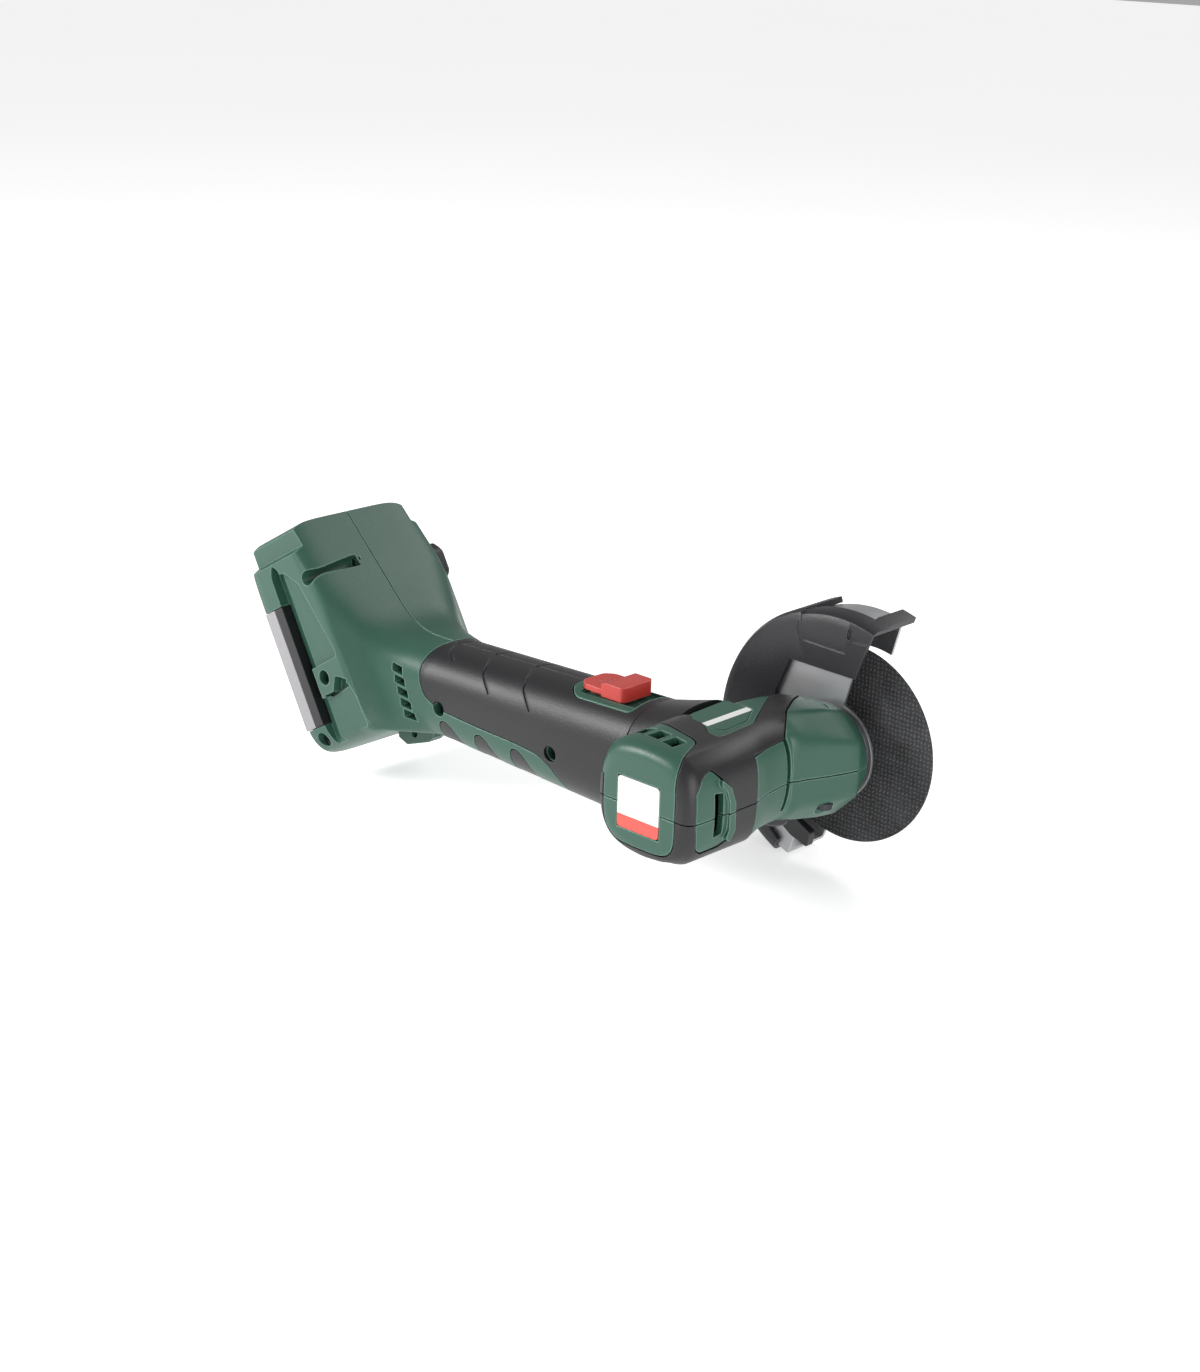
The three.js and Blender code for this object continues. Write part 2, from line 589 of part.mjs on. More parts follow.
// Soft bumper bands: round the motor end, round the waist, and a strip that ties them at the back edge.
const bumperRegion = (by) => {
  const end = box(-REACH, REACH, BARREL.end + 4.5 - by, BARREL.end + 10.5 + by, -REACH, REACH);
  const band = box(-REACH, REACH, -20 - by, -4 + by, -REACH, REACH);
  const backTie = box(BARREL.back - 2, -22 + by, BARREL.end + 6, -6, 0, REACH);
  const baseTie = box(-14 - by, -4 + by, BARREL.end + 6, -6, -REACH, 0);
  const socketHalf = GRIP.frontHalf + 3 - by;
  const socket = box(-REACH, -26 - by, -socketHalf, socketHalf, -REACH, REACH);
  const panel = box(-22 + by, 4 - by, -24 + by, 30 - by, 15, REACH);
  const frontTie = box(4 - by, REACH, BARREL.end + 6, -6, 12, REACH);
  return cut(join(end, band, backTie, baseTie, frontTie), socket, panel);
};

function headShells() {
  const socket = collarForm(COLLAR.wall, GRIP.front - 2, COLLAR.join + 6);
  let shell = cut(join(headSolid, collarForm(0, GRIP.front + GAP, COLLAR.join)), headHollow, socket);
  for (const [x, y] of HEAD_SCREWS)
    shell = join(shell, rod(SCREW.boss, vec(x, y, -30), vec(x, y, 30), 12).intersect(headSolid));
  const skinShell = cut(headForm(-2), headForm(SKIN + GAP));
  shell = cut(shell, skinShell.intersect(bumperRegion(GAP)));
  for (const [x, y] of HEAD_SCREWS)
    shell = cut(
      shell,
      rod(SCREW.head + GAP, vec(x, y, -40), vec(x, y, -11 + GAP), 16),
      rod(SCREW.shank + GAP, vec(x, y, -40), vec(x, y, 9.5), 12),
    );
  return cut(shell, ...headOpenings());
}

// Three inlets over the motor, one in front of it, a bow-shaped outlet at the waist, and the nose bore.
function headOpenings() {
  const inlets = range(3).map((i) => box(-24 + i * 8.5, -18.5 + i * 8.5, -37, -29.5, 12, REACH));
  const front = box(8, REACH, -36.8, -31.8, -6.5, 8.6);
  const outlet = box(6, REACH, 5.4, 7.8, -9.5, 13);
  const bore = disc(GUARD.hub - 3, NOSE.end - 6, NOSE.end + 5, 32);
  return [...inlets, front, outlet, bore, inlayPocket(GAP), labelPocket(GAP), lockHole()];
}
const inlayPocket = (by) => box(-20 - by, 0 + by, -17 - by, 8 + by, BARREL.top - 0.8 - by, REACH);
const labelPocket = (by) =>
  box(-19 - by, 0 + by, -REACH, BARREL.end + 0.6 + by, -9 - by, 9.8 + by);
const lockHole = () => rod(LOCK.radius + RUN, vec(0, LOCK.y, -REACH), vec(0, LOCK.y, -10), 20);

// A shelf in the lower shell guides the lock pin and holds down the top of its spring.
function lockShelf() {
  const z0 = -SPINDLE.radius - 2.1;
  const shelf = box(-REACH, REACH, LOCK.y - 3.5, LOCK.y + 3.5, z0, z0 + 1.5).intersect(headSolid);
  return cut(shelf, rod(LOCK.stem + RUN, vec(0, LOCK.y, z0 - 1), vec(0, LOCK.y, z0 + 3)));
}
const headShell = join(headShells(), lockShelf());
add("head_shell_upper", headShell.intersect(above), GREEN);
add("head_shell_lower", headShell.intersect(below), GREEN);

function bumpers() {
  let skinShell = cut(headForm(0), headForm(SKIN)).intersect(bumperRegion(0));
  for (const [x, y] of HEAD_SCREWS)
    skinShell = cut(skinShell, rod(SCREW.head + GAP, vec(x, y, -40), vec(x, y, -10), 16));
  return cut(skinShell, ...headOpenings());
}
const bumper = bumpers();
add("head_bumper_upper", bumper.intersect(above), BLACK);
add("head_bumper_lower", bumper.intersect(below), BLACK);
add("name_inlay", box(-20, 0, -17, 8, BARREL.top - 0.8, BARREL.top - 0.1), GREEN);
add("end_label", box(-19, 0, BARREL.end - 0.1, BARREL.end + 0.6, -9, 9.8), WHITE);
HEAD_SCREWS.forEach(([x, y], i) => {
  const head = rod(SCREW.head, vec(x, y, -11 - SCREW.headDepth), vec(x, y, -11), 16);
  const shank = rod(SCREW.shank, vec(x, y, -11.2), vec(x, y, 9), 12);
  const recess = rod(SCREW.head / 2, vec(x, y, -20), vec(x, y, -12.2), 6);
  add(`head_screw_${i + 1}`, cut(join(head, shank), recess), DARK_STEEL);
});

// ---------- Slide switch ----------
// The slider rides in the bezel; its neck reaches down to the switch module's plunger.
function slider() {
  const { x, length, half, top, rest, neckHalf } = SWITCH;
  const [back, front] = [x - length / 2, x + length / 2];
  const base = gripSection(front + SWITCH.travel).top.z + GAP;
  const side = new THREE.Shape([
    [back, base], [front, base], [front, top - 0.8], [front - 1, top], [x + 1, top], [x - 3, rest],
    [back + 2, rest], [back, rest - 0.4],
  ].map(([u, v]) => new THREE.Vector2(u, v)));
  const body = prism(side, "y", -half, half);
  const neck = box(back + 3, front - 3, -neckHalf, neckHalf, 6.5, base + 0.2);
  return join(body, neck);
}
add("slide_switch", slider(), RED);
const moduleX = SWITCH.x - SWITCH.length / 2;
add("switch_module", box(moduleX + 3, moduleX + 27, -5.5, 5.5, -5, 5), BLACK);
function leafSpring() {
  const x = SWITCH.x - SWITCH.length / 2 + 3;
  const outline = [[x - 7, 6], [x - 2, 6], [x - 0.8, 8.6], [x - 1.4, 8.6], [x - 2.6, 6.6], [x - 7, 6.6]];
  return prism(outline, "y", -3, 3);
}
add("detent_spring", leafSpring(), STEEL);

// ---------- Control electronics and leads ----------
const BOARD_SIZE = { from: GRIP.rear + 15, to: GRIP.front - 43, half: 12.5, z: -10, thickness: 1.6 };
function controlBoard() {
  const { from, to, half, z, thickness } = BOARD_SIZE;
  const plate = box(from, to, -half, half, z, z + thickness);
  const chips = range(6).map((i) => {
    const x = from + 6 + (i % 3) * 14;
    const y = i < 3 ? -6 : 6;
    return box(x, x + 8, y - 3.5, y + 3.5, z + thickness - 0.1, z + thickness + 1.4);
  });
  return join(plate, ...chips);
}
add("control_board", controlBoard(), BOARD);
function boardTray() {
  const { from, to, half, z } = BOARD_SIZE;
  const outer = box(from - 1.6, to + 1.6, -half - 1.6, half + 1.6, z - 3, z + 2);
  return cut(outer, box(from - GAP, to + GAP, -half - GAP, half + GAP, z - GAP, z + 9));
}
add("board_tray", boardTray(), BLACK);

// A round lead through a row of points.
function lead(points, radius) {
  const path = new THREE.CatmullRomCurve3(points.map(([x, y, z]) => vec(x, y, z)));
  const circle = new THREE.Shape().absarc(0, 0, radius, 0, Math.PI * 2);
  const steps = points.length * 3;
  const settings = { extrudePath: path, steps, curveSegments: 4, bevelEnabled: false };
  return toSolid(new THREE.ExtrudeGeometry(circle, settings));
}
const boardTop = BOARD_SIZE.z + BOARD_SIZE.thickness + GAP;
const terminalEnd = inFoot(CHANNEL.depth + TERMINAL.length + 5, 0, 0);
add("battery_lead", lead([
  [terminalEnd.x, 0, terminalEnd.z + 1], [NECK.cornerX - 11, 0, 4], [NECK.cornerX + 9, 0, 2],
  [GRIP.rear + 4, 0, 1], [BOARD_SIZE.from + 3, 0, boardTop + 4.4],
], 2), BLACK);
add("motor_lead_loom", lead([
  [BOARD_SIZE.to - 3, 6, boardTop + 3], [-80, 10.5, 0.5], [-65, 10.5, -2], [-50, 8, -6], [-36, 2, -6],
  [-30.5, 0, -4],
], 2), BLACK);

// ---------- Motor ----------
const motorZ = MOTOR.z;
const motorRing = (inner, outer, y0, y1, sides = 28) =>
  ring(inner, outer, y0, y1, sides, motorX, motorZ);
function stator() {
  const can = motorRing(ROTOR.radius + RUN, MOTOR.radius, MOTOR.start, MOTOR.end);
  const slots = range(6).map((i) => {
    const angle = (i / 6) * 2 * Math.PI;
    const reach = ROTOR.radius + 3;
    const [x, z] = [motorX + reach * Math.cos(angle), motorZ + reach * Math.sin(angle)];
    return disc(1.6, MOTOR.start - 1, MOTOR.end + 1, 8, x, z);
  });
  return cut(can, ...slots);
}
add("motor_stator", stator(), DARK_STEEL);
const windings = motorRing(ROTOR.radius + 1, MOTOR.radius - 1.5, MOTOR.end + GAP, MOTOR.end + 2.4, 20);
add("motor_windings", windings, COPPER);
add("motor_rotor", motorRing(ROTOR.shaft + GAP, ROTOR.radius, ROTOR.start, ROTOR.end, 24), STEEL);
const pinionEnd = GEAR.start + GEAR.width + 1;
add("motor_shaft", disc(ROTOR.shaft, ROTOR.start - 4, pinionEnd, 16, motorX, motorZ), STEEL);
const bearingAt = (name, r, y, width, wall, x, z) =>
  add(name, ring(r + 0.1, r + wall, y, y + width, 20, x, z), STEEL);
const motorBearing = (name, y) =>
  bearingAt(name, ROTOR.shaft, y, BEARING.smallWidth, BEARING.smallWall, motorX, motorZ);
motorBearing("motor_bearing_rear", ROTOR.start - 4.5);
motorBearing("motor_bearing_front", FAN.start + FAN.width + 0.4);

function fan() {
  const hub = motorRing(ROTOR.shaft + GAP, 6, FAN.start, FAN.start + FAN.width, 20);
  const web = motorRing(ROTOR.shaft + GAP, FAN.radius - 2, FAN.start, FAN.start + 1, 20);
  const blades = range(FAN.blades).map((i) => {
    const turnBy = new THREE.Matrix4().makeTranslation(motorX, 0, motorZ)
      .multiply(new THREE.Matrix4().makeRotationY((i / FAN.blades) * 2 * Math.PI));
    return box(5.5, FAN.radius, FAN.start, FAN.start + FAN.width - 0.5, -0.6, 0.6, turnBy);
  });
  return join(hub, web, ...blades);
}
add("cooling_fan", fan(), BLACK);

// ---------- Gears ----------
// The outline of an involute spur gear, with a tooth centred on the +x direction.
function gearOutline(teeth, backlash = 0.12) {
  const pressure = THREE.MathUtils.degToRad(GEAR.angle);
  const pitch = (GEAR.module * teeth) / 2;
  const baseR = pitch * Math.cos(pressure);
  const tip = pitch + GEAR.module * 0.75;
  const root = pitch - GEAR.module * 1.2;
  const involute = (r) => Math.sqrt(Math.max(0, (r / baseR) ** 2 - 1)) - Math.acos(Math.min(1, baseR / r));
  const halfAtPitch = Math.PI / (2 * teeth) - backlash / pitch;
  const start = Math.max(baseR, root);
  const flank = range(3).map((i) => {
    const r = lerp(start, tip, i / 2);
    return [r, halfAtPitch + involute(pitch) - involute(r)];
  });
  const side = [[root, flank[0][1] + 0.01], ...flank];
  return range(teeth).flatMap((i) => {
    const at = (i / teeth) * 2 * Math.PI;
    const point = ([r, a], sign) => [r * Math.cos(at + sign * a), r * Math.sin(at + sign * a)];
    return [...side.map((p) => point(p, -1)), ...side.toReversed().map((p) => point(p, 1))];
  });
}
// A gear about an axis along Y with a tooth (or with half 1, a gap) facing a direction in the x, z plane.
function gear(teeth, bore, x, z, facing, half) {
  const turnTo = facing + (half * Math.PI) / teeth;
  const placed = new THREE.Matrix4().makeTranslation(x, 0, z)
    .multiply(new THREE.Matrix4().makeRotationY(-turnTo));
  const body = prism(gearOutline(teeth), "y", GEAR.start, GEAR.start + GEAR.width, placed);
  return cut(body, disc(bore, GEAR.start - 1, GEAR.start + GEAR.width + 1, 16, x, z));
}
const toMotor = Math.atan2(motorZ, motorX);
add("spindle_gear", gear(GEAR.wheelTeeth, SPINDLE.gearSeat + GAP, 0, 0, toMotor, 0), STEEL);
const pinion = gear(GEAR.pinionTeeth, ROTOR.shaft + GAP, motorX, motorZ, toMotor + Math.PI, 1);
add("motor_pinion", pinion, BRASS);

// ---------- Spindle and its bearings ----------
const gearEnd = GEAR.start + GEAR.width;
// Four blind seats round the spindle take the lock pin.
function spindle() {
  const { radius, gearSeat, start, end } = SPINDLE;
  const shaft = turned([
    [0, start], [gearSeat, start], [gearSeat, gearEnd + GAP],
    [radius, gearEnd + GAP], [radius, end], [0, end],
  ], 24);
  const thread = disc(CLAMP.shank + GAP, end - 13, end + 1, 16);
  const seats = [[1, 0], [-1, 0], [0, 1], [0, -1]].map(([x, z]) =>
    rod(
      LOCK.stem + RUN, vec(x * LOCK.seat, LOCK.y, z * LOCK.seat),
      vec(x * 2 * radius, LOCK.y, z * 2 * radius),
    ),
  );
  return cut(shaft, thread, ...seats);
}
add("spindle", spindle(), STEEL);
const innerBearing = { y: GEAR.start - GAP - BEARING.smallWidth, radius: SPINDLE.gearSeat };
bearingAt(
  "spindle_bearing_inner", innerBearing.radius, innerBearing.y,
  BEARING.smallWidth, BEARING.smallWall - 0.4, 0, 0,
);
const outerBearingY = NOSE.end - BEARING.width - 6;
bearingAt("spindle_bearing_outer", SPINDLE.radius, outerBearingY, BEARING.width, BEARING.wall, 0, 0);

// The carrier holds both inner bearings in one plate across the waist.
function bearingCarrier() {
  const y0 = FAN.start + FAN.width + 1;
  const y1 = GEAR.start - GAP;
  const plate = prism([
    [motorX - 8, -9], [motorX - 8, 11], [0, 11], [7.2, 7], [7.2, -7], [0, -9],
  ], "y", y0, y1);
  const motorSeat = disc(ROTOR.shaft + BEARING.smallWall + GAP, y0 - 1, y1 + 1, 20, motorX, motorZ);
  const spindleSeat = disc(innerBearing.radius + BEARING.smallWall, y0 - 1, y1 + 1, 20);
  return cut(plate, motorSeat, spindleSeat);
}
add("bearing_carrier", bearingCarrier(), GREY);

// ---------- Bearing flange, guard and its latch ----------
function bearingFlange() {
  const bore = SPINDLE.radius + BEARING.wall + GAP;
  const neck = GUARD.hub - RUN;
  const y0 = outerBearingY;
  return turned([
    [bore, y0], [neck - 4, y0], [neck - 4, NOSE.end + GAP], [neck, NOSE.end + GAP],
    [neck, GUARD.near + GUARD.sheet + GAP], [bore - 3, GUARD.near + GUARD.sheet + GAP],
    [bore - 3, y0 + BEARING.width + GAP], [bore, y0 + BEARING.width + GAP], [bore, y0],
  ], 32);
}
add("bearing_flange", bearingFlange(), STEEL);

// A wedge about the spindle axis between two angles, in degrees from +X towards +Z.
function wedge(from, to, y0, y1) {
  const steps = 8;
  const rim = range(steps + 1).map((i) => {
    const angle = THREE.MathUtils.degToRad(lerp(from, to, i / steps));
    return [90 * Math.cos(angle), 90 * Math.sin(angle)];
  });
  return prism([[0, 0], ...rim], "y", y0, y1);
}

function guardShell() {
  const { radius, sheet, near, far, lip, hub, from, to } = GUARD;
  const cup = turned([
    [hub, near], [radius, near], [radius, far], [lip, far], [lip, far - sheet],
    [radius - sheet, far - sheet], [radius - sheet, near + sheet], [hub, near + sheet], [hub, near],
  ], 48);
  const ringPart = ring(hub, hub + 2, near, near + sheet, 32);
  const pinAt = (y) => vec(LEVER.pinX, y, LEVER.pinZ);
  const pinHole = rod(LEVER.pin + GAP, pinAt(near - 1), pinAt(near + 3));
  return cut(join(cup.intersect(wedge(from, to, -REACH, REACH)), ringPart), pinHole);
}
add("guard_shell", guardShell(), STEEL);

// The latch lever lies in the cover's window, its tip just past the cover's lower edge.
const LEVER_OUTLINE = [
  [LEVER.pinX - LEVER.arm, LEVER.pinZ - 2], [LEVER.pinX, LEVER.pinZ + LEVER.arm],
  [LEVER.pinX + 5, LEVER.pinZ + 1], [-10, -30.5], [-4, -33.5], [-5, -39.5], [-13, -37],
  [LEVER.pinX + 2, LEVER.pinZ - 6],
];
// The cover wraps the whole rim at the back and only its near edge at the front, where a bar clips over.
function guardCover() {
  const { face, bevel, from, to, step } = COVER;
  const inner = GUARD.radius + GAP;
  const back = GUARD.near - GAP;
  const wrap = GUARD.far + 1.2;
  const whole = turned([
    [20, face], [inner - 2, face], [COVER.radius, bevel], [COVER.radius, wrap],
    [inner, wrap], [inner, back], [20, back], [20, face],
  ], 48).intersect(wedge(from, to, -REACH, REACH));
  const front = wedge(from - 9, step, -REACH, REACH);
  const rimGap = ring(inner - 1, 2 * inner, COVER.rim, wrap + 1, 48).intersect(front);
  const skin = ring(COVER.narrow, 2 * inner, face - 1, wrap + 1, 48).intersect(front);
  const window = prism([
    [-20, 29.6], [40, 29.6], [40, -60], [-14, -60], [-18, -44],
    [-31, -33], [-34, -22], [-26, -14], [-26, 16],
  ], "y", face - 1, back + 0.5);
  const bar = ring(inner, COVER.narrow, COVER.rim - 1, wrap, 48)
    .intersect(wedge(from, from + 6, -REACH, REACH));
  return join(cut(whole, rimGap, skin, window), bar);
}
add("guard_cover", guardCover(), BLACK);

function guardLever() {
  const { pinX, pinZ, pin, thickness } = LEVER;
  const y1 = GUARD.near - GAP;
  const eye = rod(pin + GAP, vec(pinX, y1 - thickness - 1, pinZ), vec(pinX, y1 + 1, pinZ));
  return cut(prism(LEVER_OUTLINE, "y", y1 - thickness, y1), eye);
}
add("guard_lever", guardLever(), BLACK);
function leverPin() {
  const { pinX, pinZ, pin, thickness } = LEVER;
  const y0 = GUARD.near - GAP - thickness;
  const stem = rod(pin, vec(pinX, y0 - 1.2, pinZ), vec(pinX, GUARD.near + GUARD.sheet, pinZ));
  return join(stem, rod(pin + 1.2, vec(pinX, y0 - 1.4, pinZ), vec(pinX, y0 - GAP, pinZ)));
}
add("lever_pin", leverPin(), STEEL);

// ---------- Disc and its flanges ----------
const threadEnd = SPINDLE.end;
add("inner_flange", turned([
  [SPINDLE.radius + GAP, DISC.y - GAP - FLANGE.inner], [FLANGE.radius, DISC.y - GAP - FLANGE.inner],
  [FLANGE.radius, DISC.y - GAP], [SPINDLE.radius + GAP, DISC.y - GAP],
  [SPINDLE.radius + GAP, DISC.y - GAP - FLANGE.inner],
], 32), STEEL);
add("cutting_disc", ring(DISC.bore + GAP, DISC.radius, DISC.y, DISC.y + DISC.thickness, 48), ABRASIVE);
const outerFlangeY = DISC.y + DISC.thickness + GAP;
const outerFlange = ring(SPINDLE.radius + GAP, FLANGE.radius, outerFlangeY, outerFlangeY + FLANGE.outer, 32);
add("outer_flange", outerFlange, STEEL);
function clampScrew() {
  const y0 = outerFlangeY + FLANGE.outer + GAP;
  const head = disc(CLAMP.radius, y0, y0 + CLAMP.head, 24);
  const shank = disc(CLAMP.shank, threadEnd - 11, y0 + 0.5, 12);
  return cut(join(head, shank), disc(CLAMP.socket, y0 + 1.2, y0 + CLAMP.head + 1, 6));
}
add("clamp_screw", clampScrew(), DARK_STEEL);

// ---------- Spindle lock ----------
function lockButton() {
  const { y, radius, stem } = LOCK;
  const cap = rod(radius, vec(0, y, BARREL.base - 1.2), vec(0, y, BARREL.base + 2.2), 20);
  const collar = rod(radius - 0.8, vec(0, y, BARREL.base + 2), vec(0, y, BARREL.base + 4), 20);
  const pin = rod(stem, vec(0, y, BARREL.base + 3.8), vec(0, y, -SPINDLE.radius - LOCK.pinGap), 12);
  return join(cap, collar, pin);
}
add("lock_button", lockButton(), CHARCOAL);
const springTop = -SPINDLE.radius - 2.4;
const springBase = BARREL.base + 4 + GAP;
function lockSpring() {
  const height = springTop - springBase;
  const outer = rod(LOCK.stem + 1.6, vec(0, LOCK.y, springBase), vec(0, LOCK.y, springBase + height), 14);
  return cut(outer, rod(LOCK.stem + GAP, vec(0, LOCK.y, springBase - 1), vec(0, LOCK.y, springTop + 1), 12));
}
add("lock_spring", lockSpring(), STEEL);

export default group;
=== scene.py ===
"""Compact cordless angle grinder: the fine pieces, finishes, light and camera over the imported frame."""

import json
import math

import bmesh
import bpy
import numpy as np
from mathutils import Matrix, Vector


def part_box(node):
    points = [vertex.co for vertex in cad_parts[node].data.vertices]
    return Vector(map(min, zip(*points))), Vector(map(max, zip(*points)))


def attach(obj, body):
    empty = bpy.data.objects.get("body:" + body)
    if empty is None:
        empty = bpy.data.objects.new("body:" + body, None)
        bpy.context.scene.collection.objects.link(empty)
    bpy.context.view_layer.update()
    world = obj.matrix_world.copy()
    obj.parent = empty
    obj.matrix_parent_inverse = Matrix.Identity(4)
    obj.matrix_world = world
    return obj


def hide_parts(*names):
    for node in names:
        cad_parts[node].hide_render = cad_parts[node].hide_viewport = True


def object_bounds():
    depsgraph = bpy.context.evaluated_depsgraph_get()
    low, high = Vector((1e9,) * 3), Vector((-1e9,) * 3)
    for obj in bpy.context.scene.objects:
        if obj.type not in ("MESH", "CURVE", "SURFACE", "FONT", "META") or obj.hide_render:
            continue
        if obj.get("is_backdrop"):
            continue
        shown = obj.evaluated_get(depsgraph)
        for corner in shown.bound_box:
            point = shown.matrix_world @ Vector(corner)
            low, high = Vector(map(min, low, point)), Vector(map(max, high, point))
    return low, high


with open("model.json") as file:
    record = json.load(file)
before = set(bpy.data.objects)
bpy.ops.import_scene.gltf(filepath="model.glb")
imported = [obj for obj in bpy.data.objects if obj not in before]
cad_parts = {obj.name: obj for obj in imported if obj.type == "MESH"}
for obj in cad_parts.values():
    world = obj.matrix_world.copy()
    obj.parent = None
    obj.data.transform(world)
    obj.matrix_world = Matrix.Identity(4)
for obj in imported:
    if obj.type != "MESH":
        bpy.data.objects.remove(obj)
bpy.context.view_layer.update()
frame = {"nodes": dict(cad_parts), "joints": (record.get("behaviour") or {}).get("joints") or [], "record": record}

# ---------- Drawing space ----------
# Shapes are drawn in millimetres from the spindle axis: +X forward, +Y to the disc, +Z up.
MM = 0.001
JOINTS = {joint["name"]: joint for joint in frame["joints"]}
SPINDLE_AT = Vector(JOINTS["spindle_spin"]["pos_m"])
TOOL = Matrix.Translation((SPINDLE_AT.x, 0, SPINDLE_AT.z)) @ Matrix.Scale(MM, 4)
TO_MM = TOOL.inverted()

# The foot has its own axes: f forward from the battery face, t up it; the record's seat mount
# lies on the face, above the middle of the battery plate.
LAND_ABOVE_MIDDLE = 22
TILT = math.radians(30)
SEAT_AT = TO_MM @ Vector(frame["record"]["mounts"][0]["pos_m"])
FOOT = (
    Matrix.Translation(SEAT_AT)
    @ Matrix.Rotation(-TILT, 4, "Y")
    @ Matrix.Translation((0, 0, -LAND_ABOVE_MIDDLE))
)


def in_foot(f, y, t):
    return FOOT @ Vector((f, y, t))


def node_box(name):
    """A frame node's lowest and highest corners, in millimetres."""
    low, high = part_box(name)
    return TO_MM @ Vector(low), TO_MM @ Vector(high)


def node_middle(name):
    low, high = node_box(name)
    return (low + high) / 2


# ---------- Solids ----------
FAR = 200  # longer than any piece, for cutting tools
OUT = 60  # outside the grip and the head, for shorter ones
GAP = 0.3  # the dark line between moulded pieces


def mesh_piece(points, faces):
    """A closed body from points and faces, with its faces turned outwards."""
    mesh = bpy.data.meshes.new("piece")
    mesh.from_pydata([tuple(p) for p in points], [], faces)
    shell = bmesh.new()
    shell.from_mesh(mesh)
    bmesh.ops.remove_doubles(shell, verts=shell.verts, dist=1e-4)
    bmesh.ops.recalc_face_normals(shell, faces=shell.faces)
    if shell.calc_volume(signed=True) < 0:
        bmesh.ops.reverse_faces(shell, faces=shell.faces)
    shell.to_mesh(mesh)
    shell.free()
    piece = bpy.data.objects.new("piece", mesh)
    bpy.context.scene.collection.objects.link(piece)
    return piece


def band(a, b, count):
    """The faces between two rings of points that start at a and b."""
    return [(a + j, a + (j + 1) % count, b + (j + 1) % count, b + j) for j in range(count)]


def loft(rings):
    """A closed body through rings of points, each ring with the same count."""
    count = len(rings[0])
    last = (len(rings) - 1) * count
    faces = [face for a in range(0, last, count) for face in band(a, a + count, count)]
    faces.append(tuple(reversed(range(count))))
    faces.append(tuple(range(last, last + count)))
    return mesh_piece(np.concatenate(rings), faces)


def prism(outline, axis, low, high, placed=None):
    """An outline pushed along one axis; placed turns it into another frame."""
    order = {"x": (2, 0, 1), "y": (0, 2, 1), "z": (0, 1, 2)}[axis]
    rings = []
    for level in (low, high):
        ring = np.array([[u, v, level] for u, v in outline], float)
        rings.append(ring[:, order])
    made = loft(rings)
    if placed:
        made.data.transform(placed)
    return made


def block(low, high, placed=None):
    corners = [(low[0], low[1]), (high[0], low[1]), (high[0], high[1]), (low[0], high[1])]
    return prism(corners, "z", low[2], high[2], placed)


def circle(radius, sides):
    turns = np.linspace(0, 2 * math.pi, sides, endpoint=False)
    return [(radius * math.cos(a), radius * math.sin(a)) for a in turns]


def rod(radius, start, end, sides=32):
    start, end = Vector(start), Vector(end)
    turn = (end - start).to_track_quat("Z", "Y").to_matrix().to_4x4()
    length = (end - start).length
    low = np.array([(*p, 0) for p in circle(radius, sides)])
    high = np.array([(*p, length) for p in circle(radius, sides)])
    made = loft([low, high])
    made.data.transform(Matrix.Translation(start) @ turn)
    return made


def turned(profile, sides=128):
    """A closed profile of (radius, y) turned about the spindle."""
    rings = []
    for a in np.linspace(0, 2 * math.pi, sides, endpoint=False):
        rings.append(np.array([(r * math.cos(a), y, r * math.sin(a)) for r, y in profile]))
    count = len(profile)
    faces = [face for i in range(sides) for face in band(i * count, (i + 1) % sides * count, count)]
    return mesh_piece(np.concatenate(rings), faces)


def settle(piece):
    """Replaces a piece's mesh by its evaluated one and drops its modifiers."""
    graph = bpy.context.evaluated_depsgraph_get()
    mesh = bpy.data.meshes.new_from_object(piece.evaluated_get(graph), depsgraph=graph)
    piece.modifiers.clear()
    piece.data = mesh
    return piece


def copy(piece):
    twin = piece.copy()
    twin.data = piece.data.copy()
    bpy.context.scene.collection.objects.link(twin)
    return twin


def combine(piece, operation, tools):
    """Joins, cuts or keeps a piece by its tools, which are used up."""
    for tool in tools:
        step = piece.modifiers.new("step", "BOOLEAN")
        step.operation = operation
        step.solver = "MANIFOLD"
        step.object = tool
    settle(piece)
    for tool in tools:
        bpy.data.objects.remove(tool)
    return piece


def cut(piece, *tools):
    return combine(piece, "DIFFERENCE", tools)


def keep_in(piece, *tools):
    return combine(piece, "INTERSECT", tools)


def join(piece, *tools):
    return combine(piece, "UNION", tools)


def grown(outline, by):
    """An outline moved outwards, each corner along its two edges' normals."""
    points = [Vector(p) for p in outline]
    count = len(points)
    area = sum(points[i - 1].x * points[i].y - points[i].x * points[i - 1].y for i in range(count))
    turn = math.copysign(1, area)
    out = []
    for i, p in enumerate(points):
        before = p - points[i - 1]
        after = points[(i + 1) % count] - p
        n1 = Vector((before.y, -before.x)).normalized() * turn
        n2 = Vector((after.y, -after.x)).normalized() * turn
        out.append(tuple(p + (n1 + n2) * (by / (1 + n1.dot(n2)))))
    return out


def rounded(outline, radius, steps=5):
    """An outline with its corners rounded off by arcs."""
    points = [Vector(p) for p in outline]
    count = len(points)
    out = []
    for i, p in enumerate(points):
        to_last = points[i - 1] - p
        to_next = points[(i + 1) % count] - p
        reach = min(radius, 0.45 * to_last.length, 0.45 * to_next.length)
        a = p + to_last.normalized() * reach
        b = p + to_next.normalized() * reach
        for step in range(steps + 1):
            k = step / steps
            out.append(tuple(a * (1 - k) ** 2 + p * 2 * k * (1 - k) + b * k * k))
    return out


